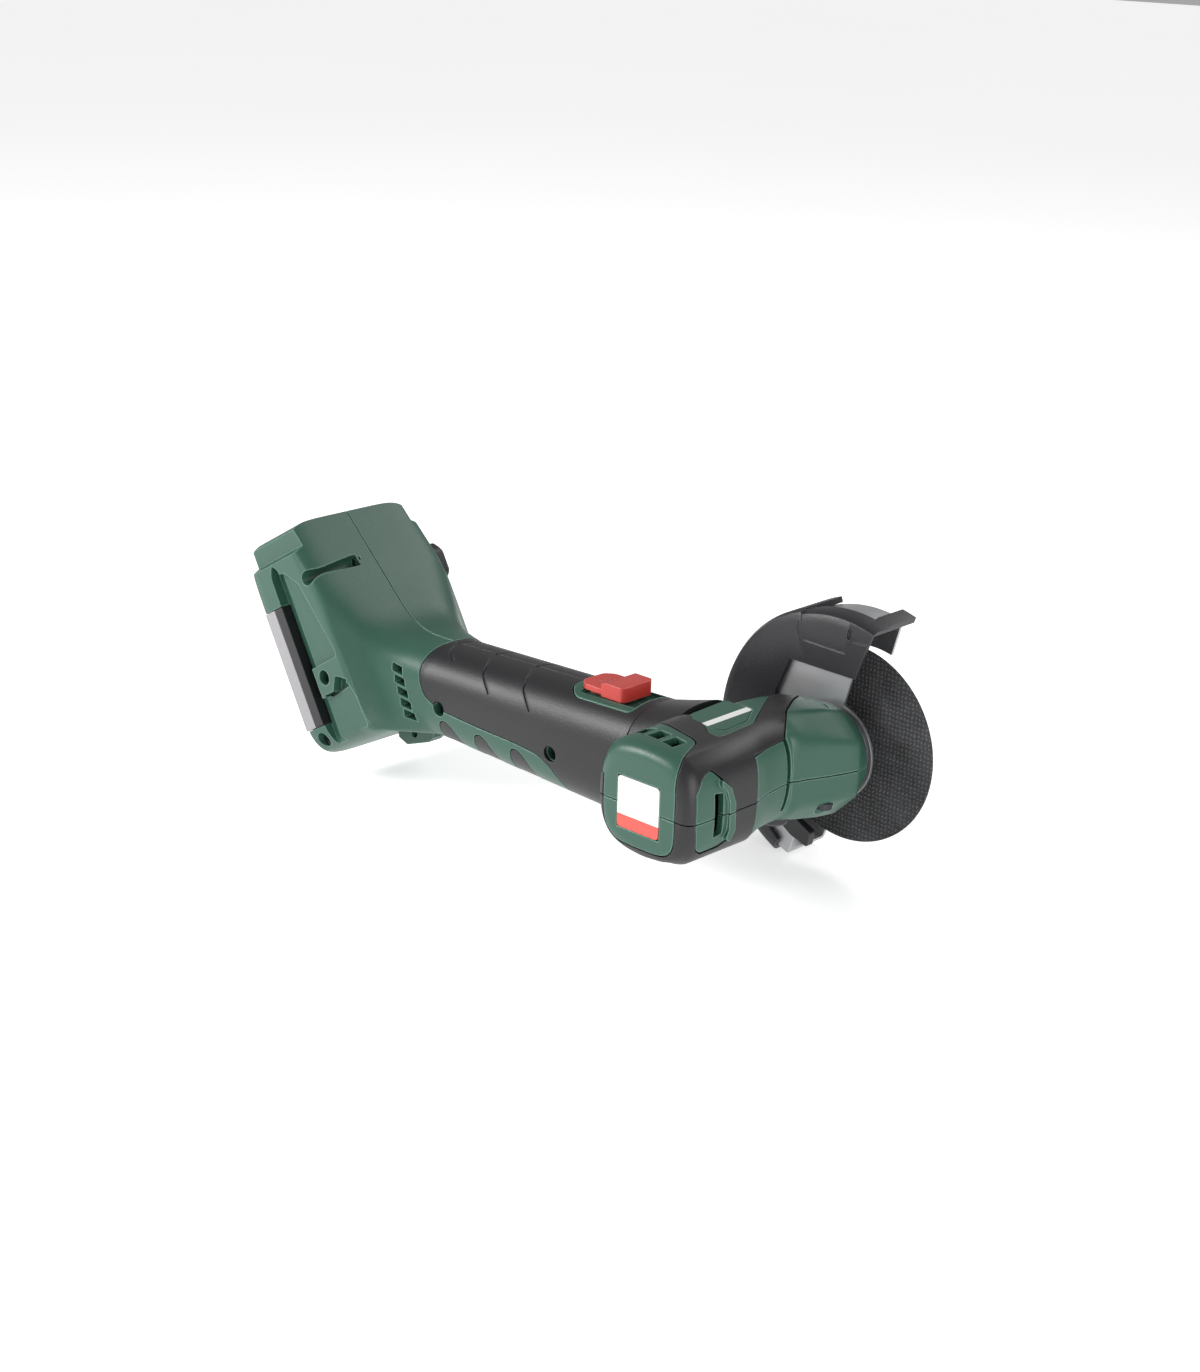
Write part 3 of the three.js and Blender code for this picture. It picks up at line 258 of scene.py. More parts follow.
def oval(centre, across, up, roundness, count):
    """A superellipse ring: roundness 2 is an ellipse, higher is squarer."""
    angles = (np.arange(count) + 0.5) / count * 2 * math.pi
    power = 2 / roundness
    c = np.sign(np.cos(angles)) * np.abs(np.cos(angles)) ** power
    s = np.sign(np.sin(angles)) * np.abs(np.sin(angles)) ** power
    return np.array(centre) + np.outer(c, np.array(across)) + np.outer(s, np.array(up))


# ---------- Finishes ----------
def sum_node(operation, swapped=False):
    """A Python operator that adds a maths node to a tree."""

    def act(self, other):
        a, b = (other, self) if swapped else (self, other)
        return self.node("ShaderNodeMath", {"operation": operation}, {0: a, 1: b})

    return act


class Wire:
    """A socket in a node tree, with sums written as Python expressions."""

    def __init__(self, tree, socket=None):
        self.tree = tree
        self.socket = socket

    def node(self, kind, settings=None, sockets=None, out=0):
        """Adds a node: its settings first, then its sockets' values or links."""
        made = self.tree.nodes.new(kind)
        for name, value in (settings or {}).items():
            setattr(made, name, value)
        for name, value in (sockets or {}).items():
            if isinstance(value, Wire):
                self.tree.links.new(value.socket, made.inputs[name])
            else:
                made.inputs[name].default_value = value
        return Wire(self.tree, made.outputs[out] if made.outputs else None)

    __add__, __radd__ = sum_node("ADD"), sum_node("ADD", swapped=True)
    __sub__, __rsub__ = sum_node("SUBTRACT"), sum_node("SUBTRACT", swapped=True)
    __mul__, __rmul__ = sum_node("MULTIPLY"), sum_node("MULTIPLY", swapped=True)


def linear(hex_colour):
    """A display colour such as "2f5f4e" as linear red, green, blue, 1."""
    parts = [int(hex_colour[i : i + 2], 16) / 255 for i in (0, 2, 4)]
    return (*[p / 12.92 if p <= 0.04045 else ((p + 0.055) / 1.055) ** 2.4 for p in parts], 1.0)


def new_material(name):
    material = bpy.data.materials.new(name)
    material.use_nodes = True
    tree = material.node_tree
    tree.nodes.clear()
    return material, Wire(tree)


def close_material(wire, base, rough, normal, **constants):
    """Feeds the varying inputs into one Principled shader and sets the rest on its own sockets."""
    sockets = {"Base Color": base, "Roughness": rough, "Normal": normal}
    sockets.update(constants)
    shader = wire.node("ShaderNodeBsdfPrincipled", None, sockets)
    wire.node("ShaderNodeOutputMaterial", None, {"Surface": shader})


def object_place(wire, stretch=(1, 1, 1)):
    place = wire.node("ShaderNodeTexCoord", None, None, "Object")
    return wire.node("ShaderNodeMapping", None, {"Vector": place, "Scale": stretch})


def edge_normal(wire, radius):
    """The surface normal with every edge eased by a radius in metres."""
    return wire.node("ShaderNodeBevel", {"samples": 4}, {"Radius": radius})


def edge_mask(wire, eased):
    """1 along eased edges, 0 on flat faces."""
    flat = wire.node("ShaderNodeNewGeometry", None, None, "Normal")
    match = wire.node("ShaderNodeVectorMath", {"operation": "DOT_PRODUCT"}, {0: eased, 1: flat}, "Value")
    return wire.node("ShaderNodeClamp", None, {"Value": (1 - match) * 6})


def noise(wire, place, scale, detail=2.0):
    return wire.node(
        "ShaderNodeTexNoise", None, {"Vector": place, "Scale": scale, "Detail": detail, "Roughness": 0.6}
    )


def mix_colour(wire, amount, a, b):
    return wire.node("ShaderNodeMix", {"data_type": "RGBA"}, {0: amount, 6: a, 7: b}, 2)


def bumped(wire, height, eased, depth, strength=0.5):
    """The eased normal roughened by a height of so many metres."""
    sockets = {"Strength": strength, "Distance": depth, "Height": height, "Normal": eased}
    return wire.node("ShaderNodeBump", None, sockets)


def darker(colour, share):
    return (*[v * share for v in linear(colour)[:3]], 1.0)


def moulded(name, colour, edge_highlight_colour, rough=0.5, grain=1500, depth=0.00012, ease=0.0005):
    """Moulded plastic: spark-eroded grain, faint shade drift, and a paler painted highlight along its eased edges.
    """
    material, wire = new_material(name)
    place = object_place(wire)
    eased = edge_normal(wire, ease)
    edge = edge_mask(wire, eased)
    drift = noise(wire, place, 22)
    speck = noise(wire, place, grain, 1)
    base = mix_colour(wire, drift, darker(colour, 0.86), linear(colour))
    # Painted highlight: along eased edges the colour is drawn towards the paler highlight colour, standing in for
    # light caught by the edges.
    base = mix_colour(wire, edge * (drift * 0.5 + 0.5), base, linear(edge_highlight_colour))
    shade = drift * 0.12 + (rough - 0.06) + (speck - 0.5) * 0.1
    close_material(wire, base, shade, bumped(wire, speck, eased, depth))
    return material


def metal(name, colour, rough=0.35, stretch=(1, 1, 1), scale=900, depth=0.00004, ease=0.0003):
    """Bare metal with fine lay marks and a little drift in its polish."""
    material, wire = new_material(name)
    place = object_place(wire, stretch)
    eased = edge_normal(wire, ease)
    lay = noise(wire, place, scale, 4)
    drift = noise(wire, object_place(wire), 40)
    base = mix_colour(wire, drift * 0.6 + lay * 0.4, darker(colour, 0.72), linear(colour))
    shade = drift * 0.15 + lay * 0.1 + (rough - 0.1)
    close_material(wire, base, shade, bumped(wire, lay, eased, depth), Metallic=1.0)
    return material


# In each moulded finish the second colour is the paler painted highlight laid along its eased edges.
GREEN = moulded("green_plastic", "2d5647", "8db3a3", 0.4, ease=0.0007)
SOFT = moulded("soft_black", "19191c", "4a494f", 0.42, 2200, 0.00016)
HARD = moulded("hard_black", "17171a", "4c4c52", 0.42, 1800)
CHARCOAL = moulded("charcoal_plastic", "1f1f23", "66656c", 0.42)
SEAT_GREY = moulded("seat_grey", "9a989b", "b8b6b8", 0.5)
RED = moulded("switch_red", "c43a33", "f08a7e", 0.34, 1400, 0.00006)
BOARD = moulded("board_green", "1f6b3f", "4f9b6f", 0.4)
LEAD = moulded("lead_black", "1b1b1d", "3b3b3d", 0.5)
STEEL = metal("machined_steel", "b4b6ba", 0.3, (1, 6, 1))
SHEET = metal("pressed_sheet", "c3c4c6", 0.42, (1, 1, 1), 1400, 0.00005)
DARK_STEEL = metal("oxide_steel", "4a4b4f", 0.42)
BRASS = metal("brass", "c9a34e", 0.3)
COPPER = metal("enamelled_copper", "b4633a", 0.35, (1, 8, 1), 700)
CAST = metal("cast_alloy", "a2a4a8", 0.5, (1, 1, 1), 1600, 0.00008)


# ---------- Handing pieces to the frame ----------
SHARP_ANGLE = math.radians(32)  # where faces meet in a crease


def hand_over(piece, name, body, material, *nodes):
    """Puts a finished piece in the frame: named, shaded, riding on its body in place of its nodes."""
    piece.name = name
    mesh = piece.data
    mesh.name = name
    mesh.transform(TOOL)
    mesh.materials.clear()
    mesh.materials.append(material)
    mesh.shade_smooth()
    mesh.set_sharp_from_angle(angle=SHARP_ANGLE)
    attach(piece, body)
    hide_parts(*nodes)


def paint(material, *names):
    """Gives frame nodes that stay as they are their material."""
    for name in names:
        node = frame["nodes"][name]
        node.data.materials.clear()
        node.data.materials.append(material)


# ---------- Handle form ----------
GRIP_FRONT = dict(x=-44, half=20, top=17.5, base=-27.6)
GRIP_REAR = dict(x=-150, half=19.5, top=13.4, base=-23.6)
GRIP_ROUND = 2.5
FOOT_HALF = 33.5
FOOT_TOP = 54
FOOT_BASE = -37
FOOT_FRONT_TOP = 30  # depth of the crown's front edge
FOOT_FRONT_DEPTH = 38  # depth where the face meets the neck's climb
FACE_FOOT = 28
FOOT_ROUND = 7
NECK_CORNER = Vector((-174.8, 0, 13))
NECK_BEND = 13
NECK_FLARE = 1.5
AROUND = 160


def blend(a, b, k):
    return a + (b - a) * k


def grip_at(x):
    """The grip's top line, base line and half width at a station."""
    k = (x - GRIP_FRONT["x"]) / (GRIP_REAR["x"] - GRIP_FRONT["x"])
    top, base, half = (blend(GRIP_FRONT[key], GRIP_REAR[key], k) for key in ("top", "base", "half"))
    return Vector((x, 0, top)), Vector((x, 0, base)), half


def face_at(depth):
    rise = (FOOT_TOP - FACE_FOOT) / (FOOT_FRONT_DEPTH - FOOT_FRONT_TOP)
    return in_foot(depth, 0, min(FOOT_TOP, FOOT_TOP - (depth - FOOT_FRONT_TOP) * rise))


def neck_line(k):
    """A point a share k of the way along the top line, from the grip to the foot's face."""
    start = grip_at(GRIP_REAR["x"])[0]
    end = face_at(FOOT_FRONT_DEPTH)
    before = NECK_CORNER + (start - NECK_CORNER).normalized() * NECK_BEND
    after = NECK_CORNER + (end - NECK_CORNER).normalized() * NECK_BEND
    points = [start.lerp(before, i / 8) for i in range(8)]
    points += [
        before * (1 - u) ** 2 + NECK_CORNER * 2 * u * (1 - u) + after * u * u
        for u in (i / 16 for i in range(17))
    ]
    points += [after.lerp(end, i / 8) for i in range(1, 9)]
    lengths = [0.0]
    for a, b in zip(points, points[1:]):
        lengths.append(lengths[-1] + (b - a).length)
    want = k * lengths[-1]
    for i in range(len(points) - 1):
        if want <= lengths[i + 1] + 1e-9:
            return points[i].lerp(points[i + 1], (want - lengths[i]) / (lengths[i + 1] - lengths[i]))
    return points[-1]


def handle_stations():
    stations = []
    for x in np.linspace(GRIP_FRONT["x"], GRIP_REAR["x"], 40):
        top, base, half = grip_at(x)
        stations.append((top, base, half, GRIP_ROUND))
    start_base = stations[-1][1]
    base = in_foot(FOOT_FRONT_DEPTH, 0, FOOT_BASE)
    for i in range(1, 37):
        k = i / 36
        half = blend(GRIP_REAR["half"], FOOT_HALF - 0.8, k**NECK_FLARE)
        stations.append((neck_line(k), start_base.lerp(base, k), half, blend(GRIP_ROUND, FOOT_ROUND, k)))
    for depth in (36, 34, 32, FOOT_FRONT_TOP, 29, 26, 22, 16, 10, 5, 1.2, 0):
        ease = 0.6 if depth == 0 else 0
        stations.append(
            (face_at(depth), in_foot(depth, 0, FOOT_BASE + ease), FOOT_HALF - ease, FOOT_ROUND)
        )
    return stations


def handle_form(inset=0.0, more=0.0):
    """The handle's outer form pulled in by an inset, and lengthened at both ends."""
    rings = []
    for top, base, half, roundness in handle_stations():
        up = (top - base) / 2
        middle = base + up
        up = up.normalized() * (up.length - inset)
        rings.append(oval(middle, (0, half - inset, 0), up, roundness, AROUND))
    if more:
        rings.insert(0, rings[0] + np.array((more, 0, 0)))
        back = in_foot(-more, 0, 0) - in_foot(0, 0, 0)
        rings.append(rings[-1] + np.array(back))
    return loft(rings)


SEAM = 0.26  # half of the dark line between the two halves


def half_of(piece, side, axis=1):
    """Keeps one side of a seam plane; along Y, -1 is the motor side and 1 the disc side."""
    low, high = [-2 * FAR, -FAR, -FAR], [FAR, FAR, FAR]
    low[axis], high[axis] = (SEAM, FAR) if side > 0 else (-FAR, -SEAM)
    return keep_in(piece, block(low, high))


SLEEVE = [
    (-153, 60), (-153, 4), (-149.5, -3.4), (-141.5, -6.9), (-120, -8.2), (-98, -8.8), (-86.5, -10),
    (-80, -13.5), (-74, -22), (-68, -60), (-44, -60), (-44, 60),
]
BEZEL = [(-47, -12), (-76, -12), (-82, -6.5), (-82, 6.5), (-76, 12), (-47, 12)]
SKIN = 1.7
LINE = 0.5  # the dark line round each soft field
PAD_FIRST, PAD_PITCH, PAD_COUNT = -142, 19.8, 3


def sleeve_tool(by, outer, inner):
    outline = grown(SLEEVE, by)
    tool = keep_in(handle_form(outer, 4), prism(rounded(outline, 5), "y", -OUT, OUT))
    tool = cut(tool, prism(rounded(grown(BEZEL, -by), 3), "z", 0, OUT))
    return cut(tool, handle_form(inner, 8))


def pad_outline(i):
    x = PAD_FIRST + i * PAD_PITCH
    return [
        (x - 0.5, -OUT), (x, -16), (x + 1.2, -12.6), (x + 4, -11.8), (x + 7, -13.5), (x + 10.5, -18.5),
        (x + 14.5, -OUT),
    ]


def pads_tool(by, outer, inner):
    regions = [prism(rounded(grown(pad_outline(i), by), 3), "y", -OUT, OUT) for i in range(PAD_COUNT)]
    end = PAD_FIRST + (PAD_COUNT - 1) * PAD_PITCH + 5
    strip = block((PAD_FIRST + 1, -OUT, -OUT), (end, OUT, grip_at(end)[1].z + 2.2 + by))
    region = join(regions[0], *regions[1:], strip)
    return cut(keep_in(handle_form(outer, 4), region), handle_form(inner, 8))


def tube(points, radius, sides=14):
    """A round bar through a list of points, for cutting grooves."""
    points = [Vector(p) for p in points]
    rings = []
    for i, p in enumerate(points):
        ahead = points[min(i + 1, len(points) - 1)] - points[max(i - 1, 0)]
        turn = ahead.to_track_quat("Z", "Y")
        rings.append(np.array([p + turn @ Vector((u, v, 0)) for u, v in circle(radius, sides)]))
    return loft(rings)


def on_grip(x, angle):
    """A point on the grip's skin: angle 0 is the top line, positive towards the motor side."""
    top, base, half = grip_at(x)
    middle = (top + base) / 2
    up = (top - base).length / 2
    a = math.radians(angle)
    power = 2 / GRIP_ROUND
    y = -math.copysign(abs(math.sin(a)) ** power, math.sin(a)) * half
    z = math.copysign(abs(math.cos(a)) ** power, math.cos(a)) * up
    return middle + Vector((0, y, z))


# Each groove runs over the top, down both sides and turns forward in a point:
# its place on the grip, how far it sweeps, and the angle where it ends.
GROOVES = [(-149, 8, 34), (-129, 13, 62), (-106.5, 13, 66)]
GROOVE_HALF_WIDTH = 0.6
TURN_AT = 0.62  # share of its run where a groove turns forward


def grip_grooves():
    tools = []
    for x, sweep, end in GROOVES:
        for side in (-1, 1):
            run = []
            for i in range(25):
                k = i / 24
                lag = 8 * math.sin(k * math.pi * 0.5) if sweep > 10 else -1 + 6 * k
                turn = sweep * 1.5 * max(0, k - TURN_AT) ** 1.2
                run.append(on_grip(x + lag + turn, side * end * k))
            tools.append(tube(run, GROOVE_HALF_WIDTH))
    return tools


HANDLE_SCREWS = [f"handle_screw_{i}" for i in range(1, 5)]
WELL = 3.1


def screw_wells():
    """Where the handle's screws sit, seen from the side."""
    return [node_middle(name).xz for name in HANDLE_SCREWS]


def side_prism(outline, side, depth):
    """A cutter in the foot's own axes that reaches a depth in from one side."""
    near, far = side * (FOOT_HALF - depth), side * FAR
    return prism(outline, "y", min(near, far), max(near, far), FOOT)


CHANNEL = [(11.8, -40), (11.8, 38), (14, 42), (17.5, 38.5), (17.5, -40)]
UPPER_PANEL = [(16, 37.5), (21, 36.5), (27.5, 30), (35.3, -0.5), (34.6, -2.2), (16, -3)]
LOWER_PANEL = [(16, -15.2), (21.5, -15.8), (35.8, -12.4), (37.6, -20), (37.4, -31), (33, -35.6), (16, -37)]
WEDGE = [(25.5, -14.6), (29.6, -9.3), (31, -9.6), (36.2, -12.2), (34.5, -14.8), (21, -16.2), (19, -14.6)]
CROWN_STEP = [(28.6, 80), (28.8, 44), (34, 41.6), (60, 41.2), (60, 80)]  # across and up the foot
LUG = [(-186, -20), (-160, -17), (-161.5, -29), (-164, -31.5), (-177, -36.2), (-182, -34.5)]
LUG_HALF = 3.2
SEAT_HALF, SEAT_HIGH = 33.3, 25  # half the width and height of the battery plate and its frame
SEAT_BACK = 11.8


def foot_cuts(side):
    """The stepped side of the foot, cut from its plain form."""
    corner = prism([(side * y, t) for y, t in CROWN_STEP], "z", -4, 40)
    turn = Matrix(((0, 0, 1, 0), (1, 0, 0, 0), (0, 1, 0, 0), (0, 0, 0, 1)))
    corner.data.transform(FOOT @ turn)
    return [
        side_prism(rounded(CHANNEL, 1.5), side, 4.6),
        side_prism(rounded(UPPER_PANEL, 1.0), side, 2.3),
        side_prism(rounded(LOWER_PANEL, 2.4), side, 2.4),
        side_prism(WEDGE, side, 4.2),
        corner,
    ]


KEY_AXIS = Vector(JOINTS["hex_key_pull"]["axis"])
KEY_TIP = in_foot(34.2, -8, 32.5)
GROOVE_END = in_foot(35.4, -8, 32.2)
KEY_SEAT = in_foot(25, FOOT_HALF, 25)
GROOVE_START = in_foot(33.2, -FOOT_HALF - 3, 30.5)


def handle_shell(side):
    shell = handle_form()
    lug = prism(LUG, "y", -LUG_HALF, LUG_HALF)
    hole = rod(2, (-173, -6, -30), (-173, 6, -30))
    join(shell, cut(lug, hole))
    cut(shell, sleeve_tool(LINE, -2, SKIN), pads_tool(LINE, -2, SKIN))
    cut(shell, *foot_cuts(side))
    notch_high = SEAT_HIGH + GAP
    cut(shell, block((-10, -FAR, -notch_high), (SEAT_BACK + GAP, FAR, notch_high), FOOT))
    for x, z in screw_wells():
        floor = FOOT_HALF - 9 if x < GRIP_REAR["x"] else 12
        cut(shell, rod(WELL, (x, side * FAR, z), (x, side * floor, z)))
    cut(shell, tube([GROOVE_END, GROOVE_END.lerp(GROOVE_START, 0.5), GROOVE_START], 2.9, 40))
    cut(shell, rod(2.6, KEY_TIP, KEY_SEAT + KEY_AXIS * 8))
    cut(shell, switch_slot())
    cut(shell, *neck_vents())
    return half_of(shell, side)


def switch_slot():
    low, high = node_box("slide_switch")
    return block((low.x + 1.5, -8.8, 14.4), (high.x + 6.6, 8.8, OUT))


def neck_vents():
    """Five slanting louvres on each side of the neck, down to the wall's inside."""
    slots = []
    for i in range(5):
        x = -165.6 + i * 1.7
        z = 6.4 - i * 4.4
        outline = [(x, z), (x + 4.6, z - 1.3), (x + 5.4, z - 4.6), (x + 0.6, z - 3.2)]
        slots.append(prism(outline, "y", -FAR, FAR))
    inner = block((-180, -16.5, -30), (-140, 16.5, 20))
    return [cut(join(slots[0], *slots[1:]), inner)]


def grip_sleeve(side):
    sleeve = sleeve_tool(-0.05, 0, SKIN - GAP)
    for x, z in screw_wells():
        if x > GRIP_REAR["x"]:
            cut(sleeve, rod(WELL, (x, -FAR, z), (x, FAR, z)))
    cut(sleeve, *grip_grooves())
    return half_of(sleeve, side)


def grip_pads(side):
    return half_of(pads_tool(0, 0.1, SKIN - GAP), side)


for side, word in ((-1, "left"), (1, "right")):
    hand_over(handle_shell(side), f"handle_half_{word}", "housing", GREEN, f"handle_shell_{word}")
    hand_over(grip_sleeve(side), f"soft_sleeve_{word}", "housing", SOFT, f"grip_sleeve_{word}")
    hand_over(grip_pads(side), f"soft_pads_{word}", "housing", SOFT, f"grip_pads_{word}")


# ---------- Head ----------
BARREL = (-30, 14.2, -18.6, 22.8)  # back, front, base, top
END = -48.25
# The rounded end, ring by ring: y, how far it pulls in, corner cut, crispness.
HEAD_RINGS = [
    (END, 4.6, 1.62, 5), (END + 0.25, 3.2, 1.64, 5), (END + 0.9, 1.9, 1.66, 6),
    (END + 2.0, 0.9, 1.68, 6), (END + 3.6, 0.3, 1.7, 7), (END + 5.5, 0, 1.72, 8),
]
# The rest, ring by ring: y, back, front, base, top, corner cut, crispness, share of a plain circle.
NECK_RINGS = [
    (-13, -30, 14.6, -18.6, 22.8, 1.70, 9, 0),
    (-5, -28, 12.2, -18.1, 22.8, 1.68, 9, 0),
    (3, -26, 11.2, -18.1, 22.8, 1.66, 9, 0),
    (9.6, -25, 11.0, -18.1, 22.8, 1.64, 10, 0),
    (11.6, -24.8, 12.3, -18.2, 22.8, 1.62, 14, 0),
    (14.0, -24.5, 12.7, -18.4, 22.8, 1.60, 18, 0),
    (20.0, -24.0, 15.2, -19.0, 22.7, 1.55, 34, 0),
    (28.0, -22.6, 18.3, -19.8, 22.2, 1.52, 40, 0),
    (35.2, -20.3, 20.3, -19.9, 20.8, 1.5, 44, 0),
    (36.4, -20.1, 20.2, -19.8, 20.6, 1.5, 36, 0.12),
    (39.6, -19.5, 19.4, -19.2, 19.6, 1.5, 30, 0.6),
    (42.0, -19.0, 19.0, -18.9, 19.0, 1.5, 24, 1),
    (42.5, -18.5, 18.5, -18.4, 18.5, 1.5, 24, 1),
]


def soft_ring(y, back, front, base, top, corner, crisp, circular):
    """A ring whose flats and cut corners meet in edges as sharp as crisp asks."""
    angles = (np.arange(AROUND) + 0.5) / AROUND * 2 * math.pi
    c, s = np.abs(np.cos(angles)), np.abs(np.sin(angles))
    reach = (c**crisp + s**crisp + ((c + s) / corner) ** crisp) ** (-1 / crisp)
    reach = reach * (1 - circular) + circular
    x = (back + front) / 2 + np.cos(angles) * reach * (front - back) / 2
    z = (base + top) / 2 + np.sin(angles) * reach * (top - base) / 2
    return np.column_stack([x, np.full(AROUND, float(y)), z])


def head_form(inset=0.0):
    rings = []
    back, front, base, top = BARREL
    stations = [
        (y, back + ease, front - ease, base + ease, top - ease, corner, crisp, 0)
        for y, ease, corner, crisp in HEAD_RINGS
    ] + NECK_RINGS
    last = len(stations) - 1
    for i, (y, back, front, base, top, corner, crisp, circular) in enumerate(stations):
        y += inset if i == 0 else -inset if i == last else 0
        if i < len(HEAD_RINGS):
            # An inset form keeps its end rings in order, a hair apart.
            y = max(y, END + inset) + (i * 1e-3 if inset > 0 else 0)
        rings.append(
            soft_ring(y, back + inset, front - inset, base + inset, top - inset, corner, crisp, circular)
        )
    return loft(rings)


def collar_form(inset, start, end):
    top, base, half = grip_at(GRIP_FRONT["x"])
    bend = blend(GRIP_FRONT["x"], -24, 0.45)
    stations = [
        (GRIP_FRONT["x"], top.z, base.z, half),
        (bend, top.z + 2.2, base.z + 2.5, half + 0.5),
        (-24, 22.6, -20.1, half + 1),
    ]
    rings = []
    for x in np.linspace(start, end, 14):
        a, b = (stations[0], stations[1]) if x < bend else (stations[1], stations[2])
        k = min(1, max(0, (x - a[0]) / (b[0] - a[0])))
        _, high, low, wide = (blend(p, q, k) for p, q in zip(a, b))
        middle = (x, 0, (high + low) / 2)
        rings.append(
            oval(middle, (0, wide - inset, 0), (0, 0, (high - low) / 2 - inset), GRIP_ROUND, AROUND)
        )
    return loft(rings)


# The hard fields and their marks, seen square on from above, from the end and from the front.
PANEL = [
    (-12, -15), (-2.6, -21.8), (2.6, -21.6), (2.8, -16.3), (1.4, -1.1), (-6.8, 13.7), (-14, 27), (-27, 27),
    (-30, -9),
]
CAP_TOP = [
    (7.4, -60), (7.2, -46.4), (3.6, -37.4), (1.2, -31), (-3, -29.2), (-10.2, -27.6), (-27, -22), (-31, -30),
    (-28, -60),
]
CAP_FACE = [(-26.4, -15.2), (7.4, -15.2), (7.4, 19.6), (-26.4, 19.6)]
NOSE_EDGE = [
    (-70, -70), (70, -70), (70, -14.2), (12.4, -14.2), (9.2, 5.6), (1.6, 15.4), (-5, 27.5), (-9, 36),
    (-70, 36),
]
FRAME = [
    (-36.2, 17.5), (-41.6, 15.6), (-45, 10.6), (-45.3, -1), (-43.8, -10), (-41, -12.2), (-32, -12.2),
    (-27, -10.2), (-25.4, -7), (-25.6, 3.4), (-28.2, 9.8),
]
FRAME_SLOT = [(-36, 9), (-31.4, 8.2), (-31.2, -6.8), (-35.6, -7.4)]
FRAME_RIM = [
    (-33.4, 13.6), (-28.6, 9.6), (-26, 3.2), (-25.8, -6.8), (-28.6, -10.2), (-30.4, -8.6),
    (-28.9, -5.8), (-29.1, 4.0), (-30.6, 8.4), (-33.6, 11.4),
]
VENTS = [(-24.4, -30.5), (-16.2, -32), (-8, -33.5)]
HEAD_WALL = 2.6
BUMPER_SKIN = 1.5
PROUD = 0.35  # how far the bumper stands above the hard head
FIELD_GAP = 0.55  # the dark line round each hard field


def green_islands(by):
    """The hard green fields that show through the bumper, as cutters."""
    cap = prism(rounded(grown(CAP_FACE, by), 9), "y", -OUT, -46.3 + by)
    over = prism(rounded(grown(CAP_TOP, by), 2), "z", 8, OUT)
    panel = prism(rounded(grown(PANEL, by), 1.2), "z", 12, OUT)
    surround = prism(rounded(grown(FRAME, by), 1), "x", 0, OUT)
    return [cap, over, panel, surround]


def bumper_area(by):
    top = prism(grown(NOSE_EDGE, by), "z", 16.5 - by, OUT)
    area = join(block((-OUT, -OUT, -OUT), (OUT, -14.2 + by, OUT)), top)
    return cut(area, *green_islands(-by))


def inlay_outline():
    """The plain plate in the middle of the top field, seen from above."""
    low, high = node_box("name_inlay")
    outline = [
        (low.x + 1, low.y + 5), (low.x + 5, low.y + 1.6), (-3.4, low.y), (-0.6, low.y + 2.5), (-1.6, -2),
        (-7.6, high.y), (low.x, high.y),
    ]
    return rounded(outline, 1.4)


def top_inlay():
    low, high = node_box("name_inlay")
    return prism(inlay_outline(), "z", low.z, high.z)


def inlay_pocket():
    """An opening a little larger than the plate all round, up through the skin."""
    low, high = node_box("name_inlay")
    middle = (low + high) / 2
    wide, deep = 1 + 2 * GAP / (high.x - low.x), 1 + 2 * GAP / (high.y - low.y)
    outline = [
        (middle.x + (x - middle.x) * wide, middle.y + (y - middle.y) * deep) for x, y in inlay_outline()
    ]
    return prism(outline, "z", low.z - GAP, OUT)


def bow_slot():
    """The bow-shaped outlet at the waist."""
    arc = [(6.2 + 1.4 * math.sin(math.pi * i / 12), -10.6 + 27 * i / 12) for i in range(13)]
    bow = [(y - 1.1, z) for y, z in arc] + [(y + 1.1, z) for y, z in reversed(arc)]
    return prism(bow, "x", 5, OUT)


HEAD_SCREWS = [f"head_screw_{i}" for i in range(1, 5)]
HEAD_SCREW_LENGTH = 20
HEAD_WELL = 3.3
LOCK_WELL = 6.1
NOSE_BORE = 14.2


def head_cutters():
    """Openings and small marks cut through the head."""
    tools = []
    for x, y in VENTS:
        outline = [(x, y - 6), (x + 6.2, y - 7), (x + 6.6, y), (x + 0.6, y + 1)]
        tools.append(prism(rounded(outline, 0.6), "z", 14, OUT))
    tools.append(prism(rounded(FRAME_SLOT, 0.8), "x", 5, OUT))
    tools.append(bow_slot())
    tools.append(rod(NOSE_BORE, (0, 36, 0), (0, OUT, 0), 96))
    for name in HEAD_SCREWS:
        x, y, _ = node_middle(name)
        top = node_box(name)[1].z - HEAD_SCREW_LENGTH
        tools.append(rod(HEAD_WELL, (x, y, -OUT), (x, y, top), 32))
    x, y, _ = node_middle("lock_button")
    tools.append(rod(LOCK_WELL, (x, y, -OUT), (0, y, -10), 64))
    low, high = node_box("end_label")
    tools.append(block((low.x - GAP, -OUT, low.z - GAP), (high.x + GAP, high.y + GAP, high.z + GAP)))
    return [*tools, inlay_pocket(), *turn_arrow()]


def turn_arrow():
    """A plain arrow sunk in the nose that shows which way the disc turns."""
    shaft = [(-5, 33.6), (2.6, 32.6), (2.7, 33.5), (-4.9, 34.5)]
    tip = [(2.2, 31.2), (8.4, 32.6), (2.9, 36.2), (2.5, 35.3), (6.2, 33.0), (2.3, 32.2)]
    return [cut(prism(outline, "z", 14, OUT), head_form(0.9)) for outline in (shaft, tip)]


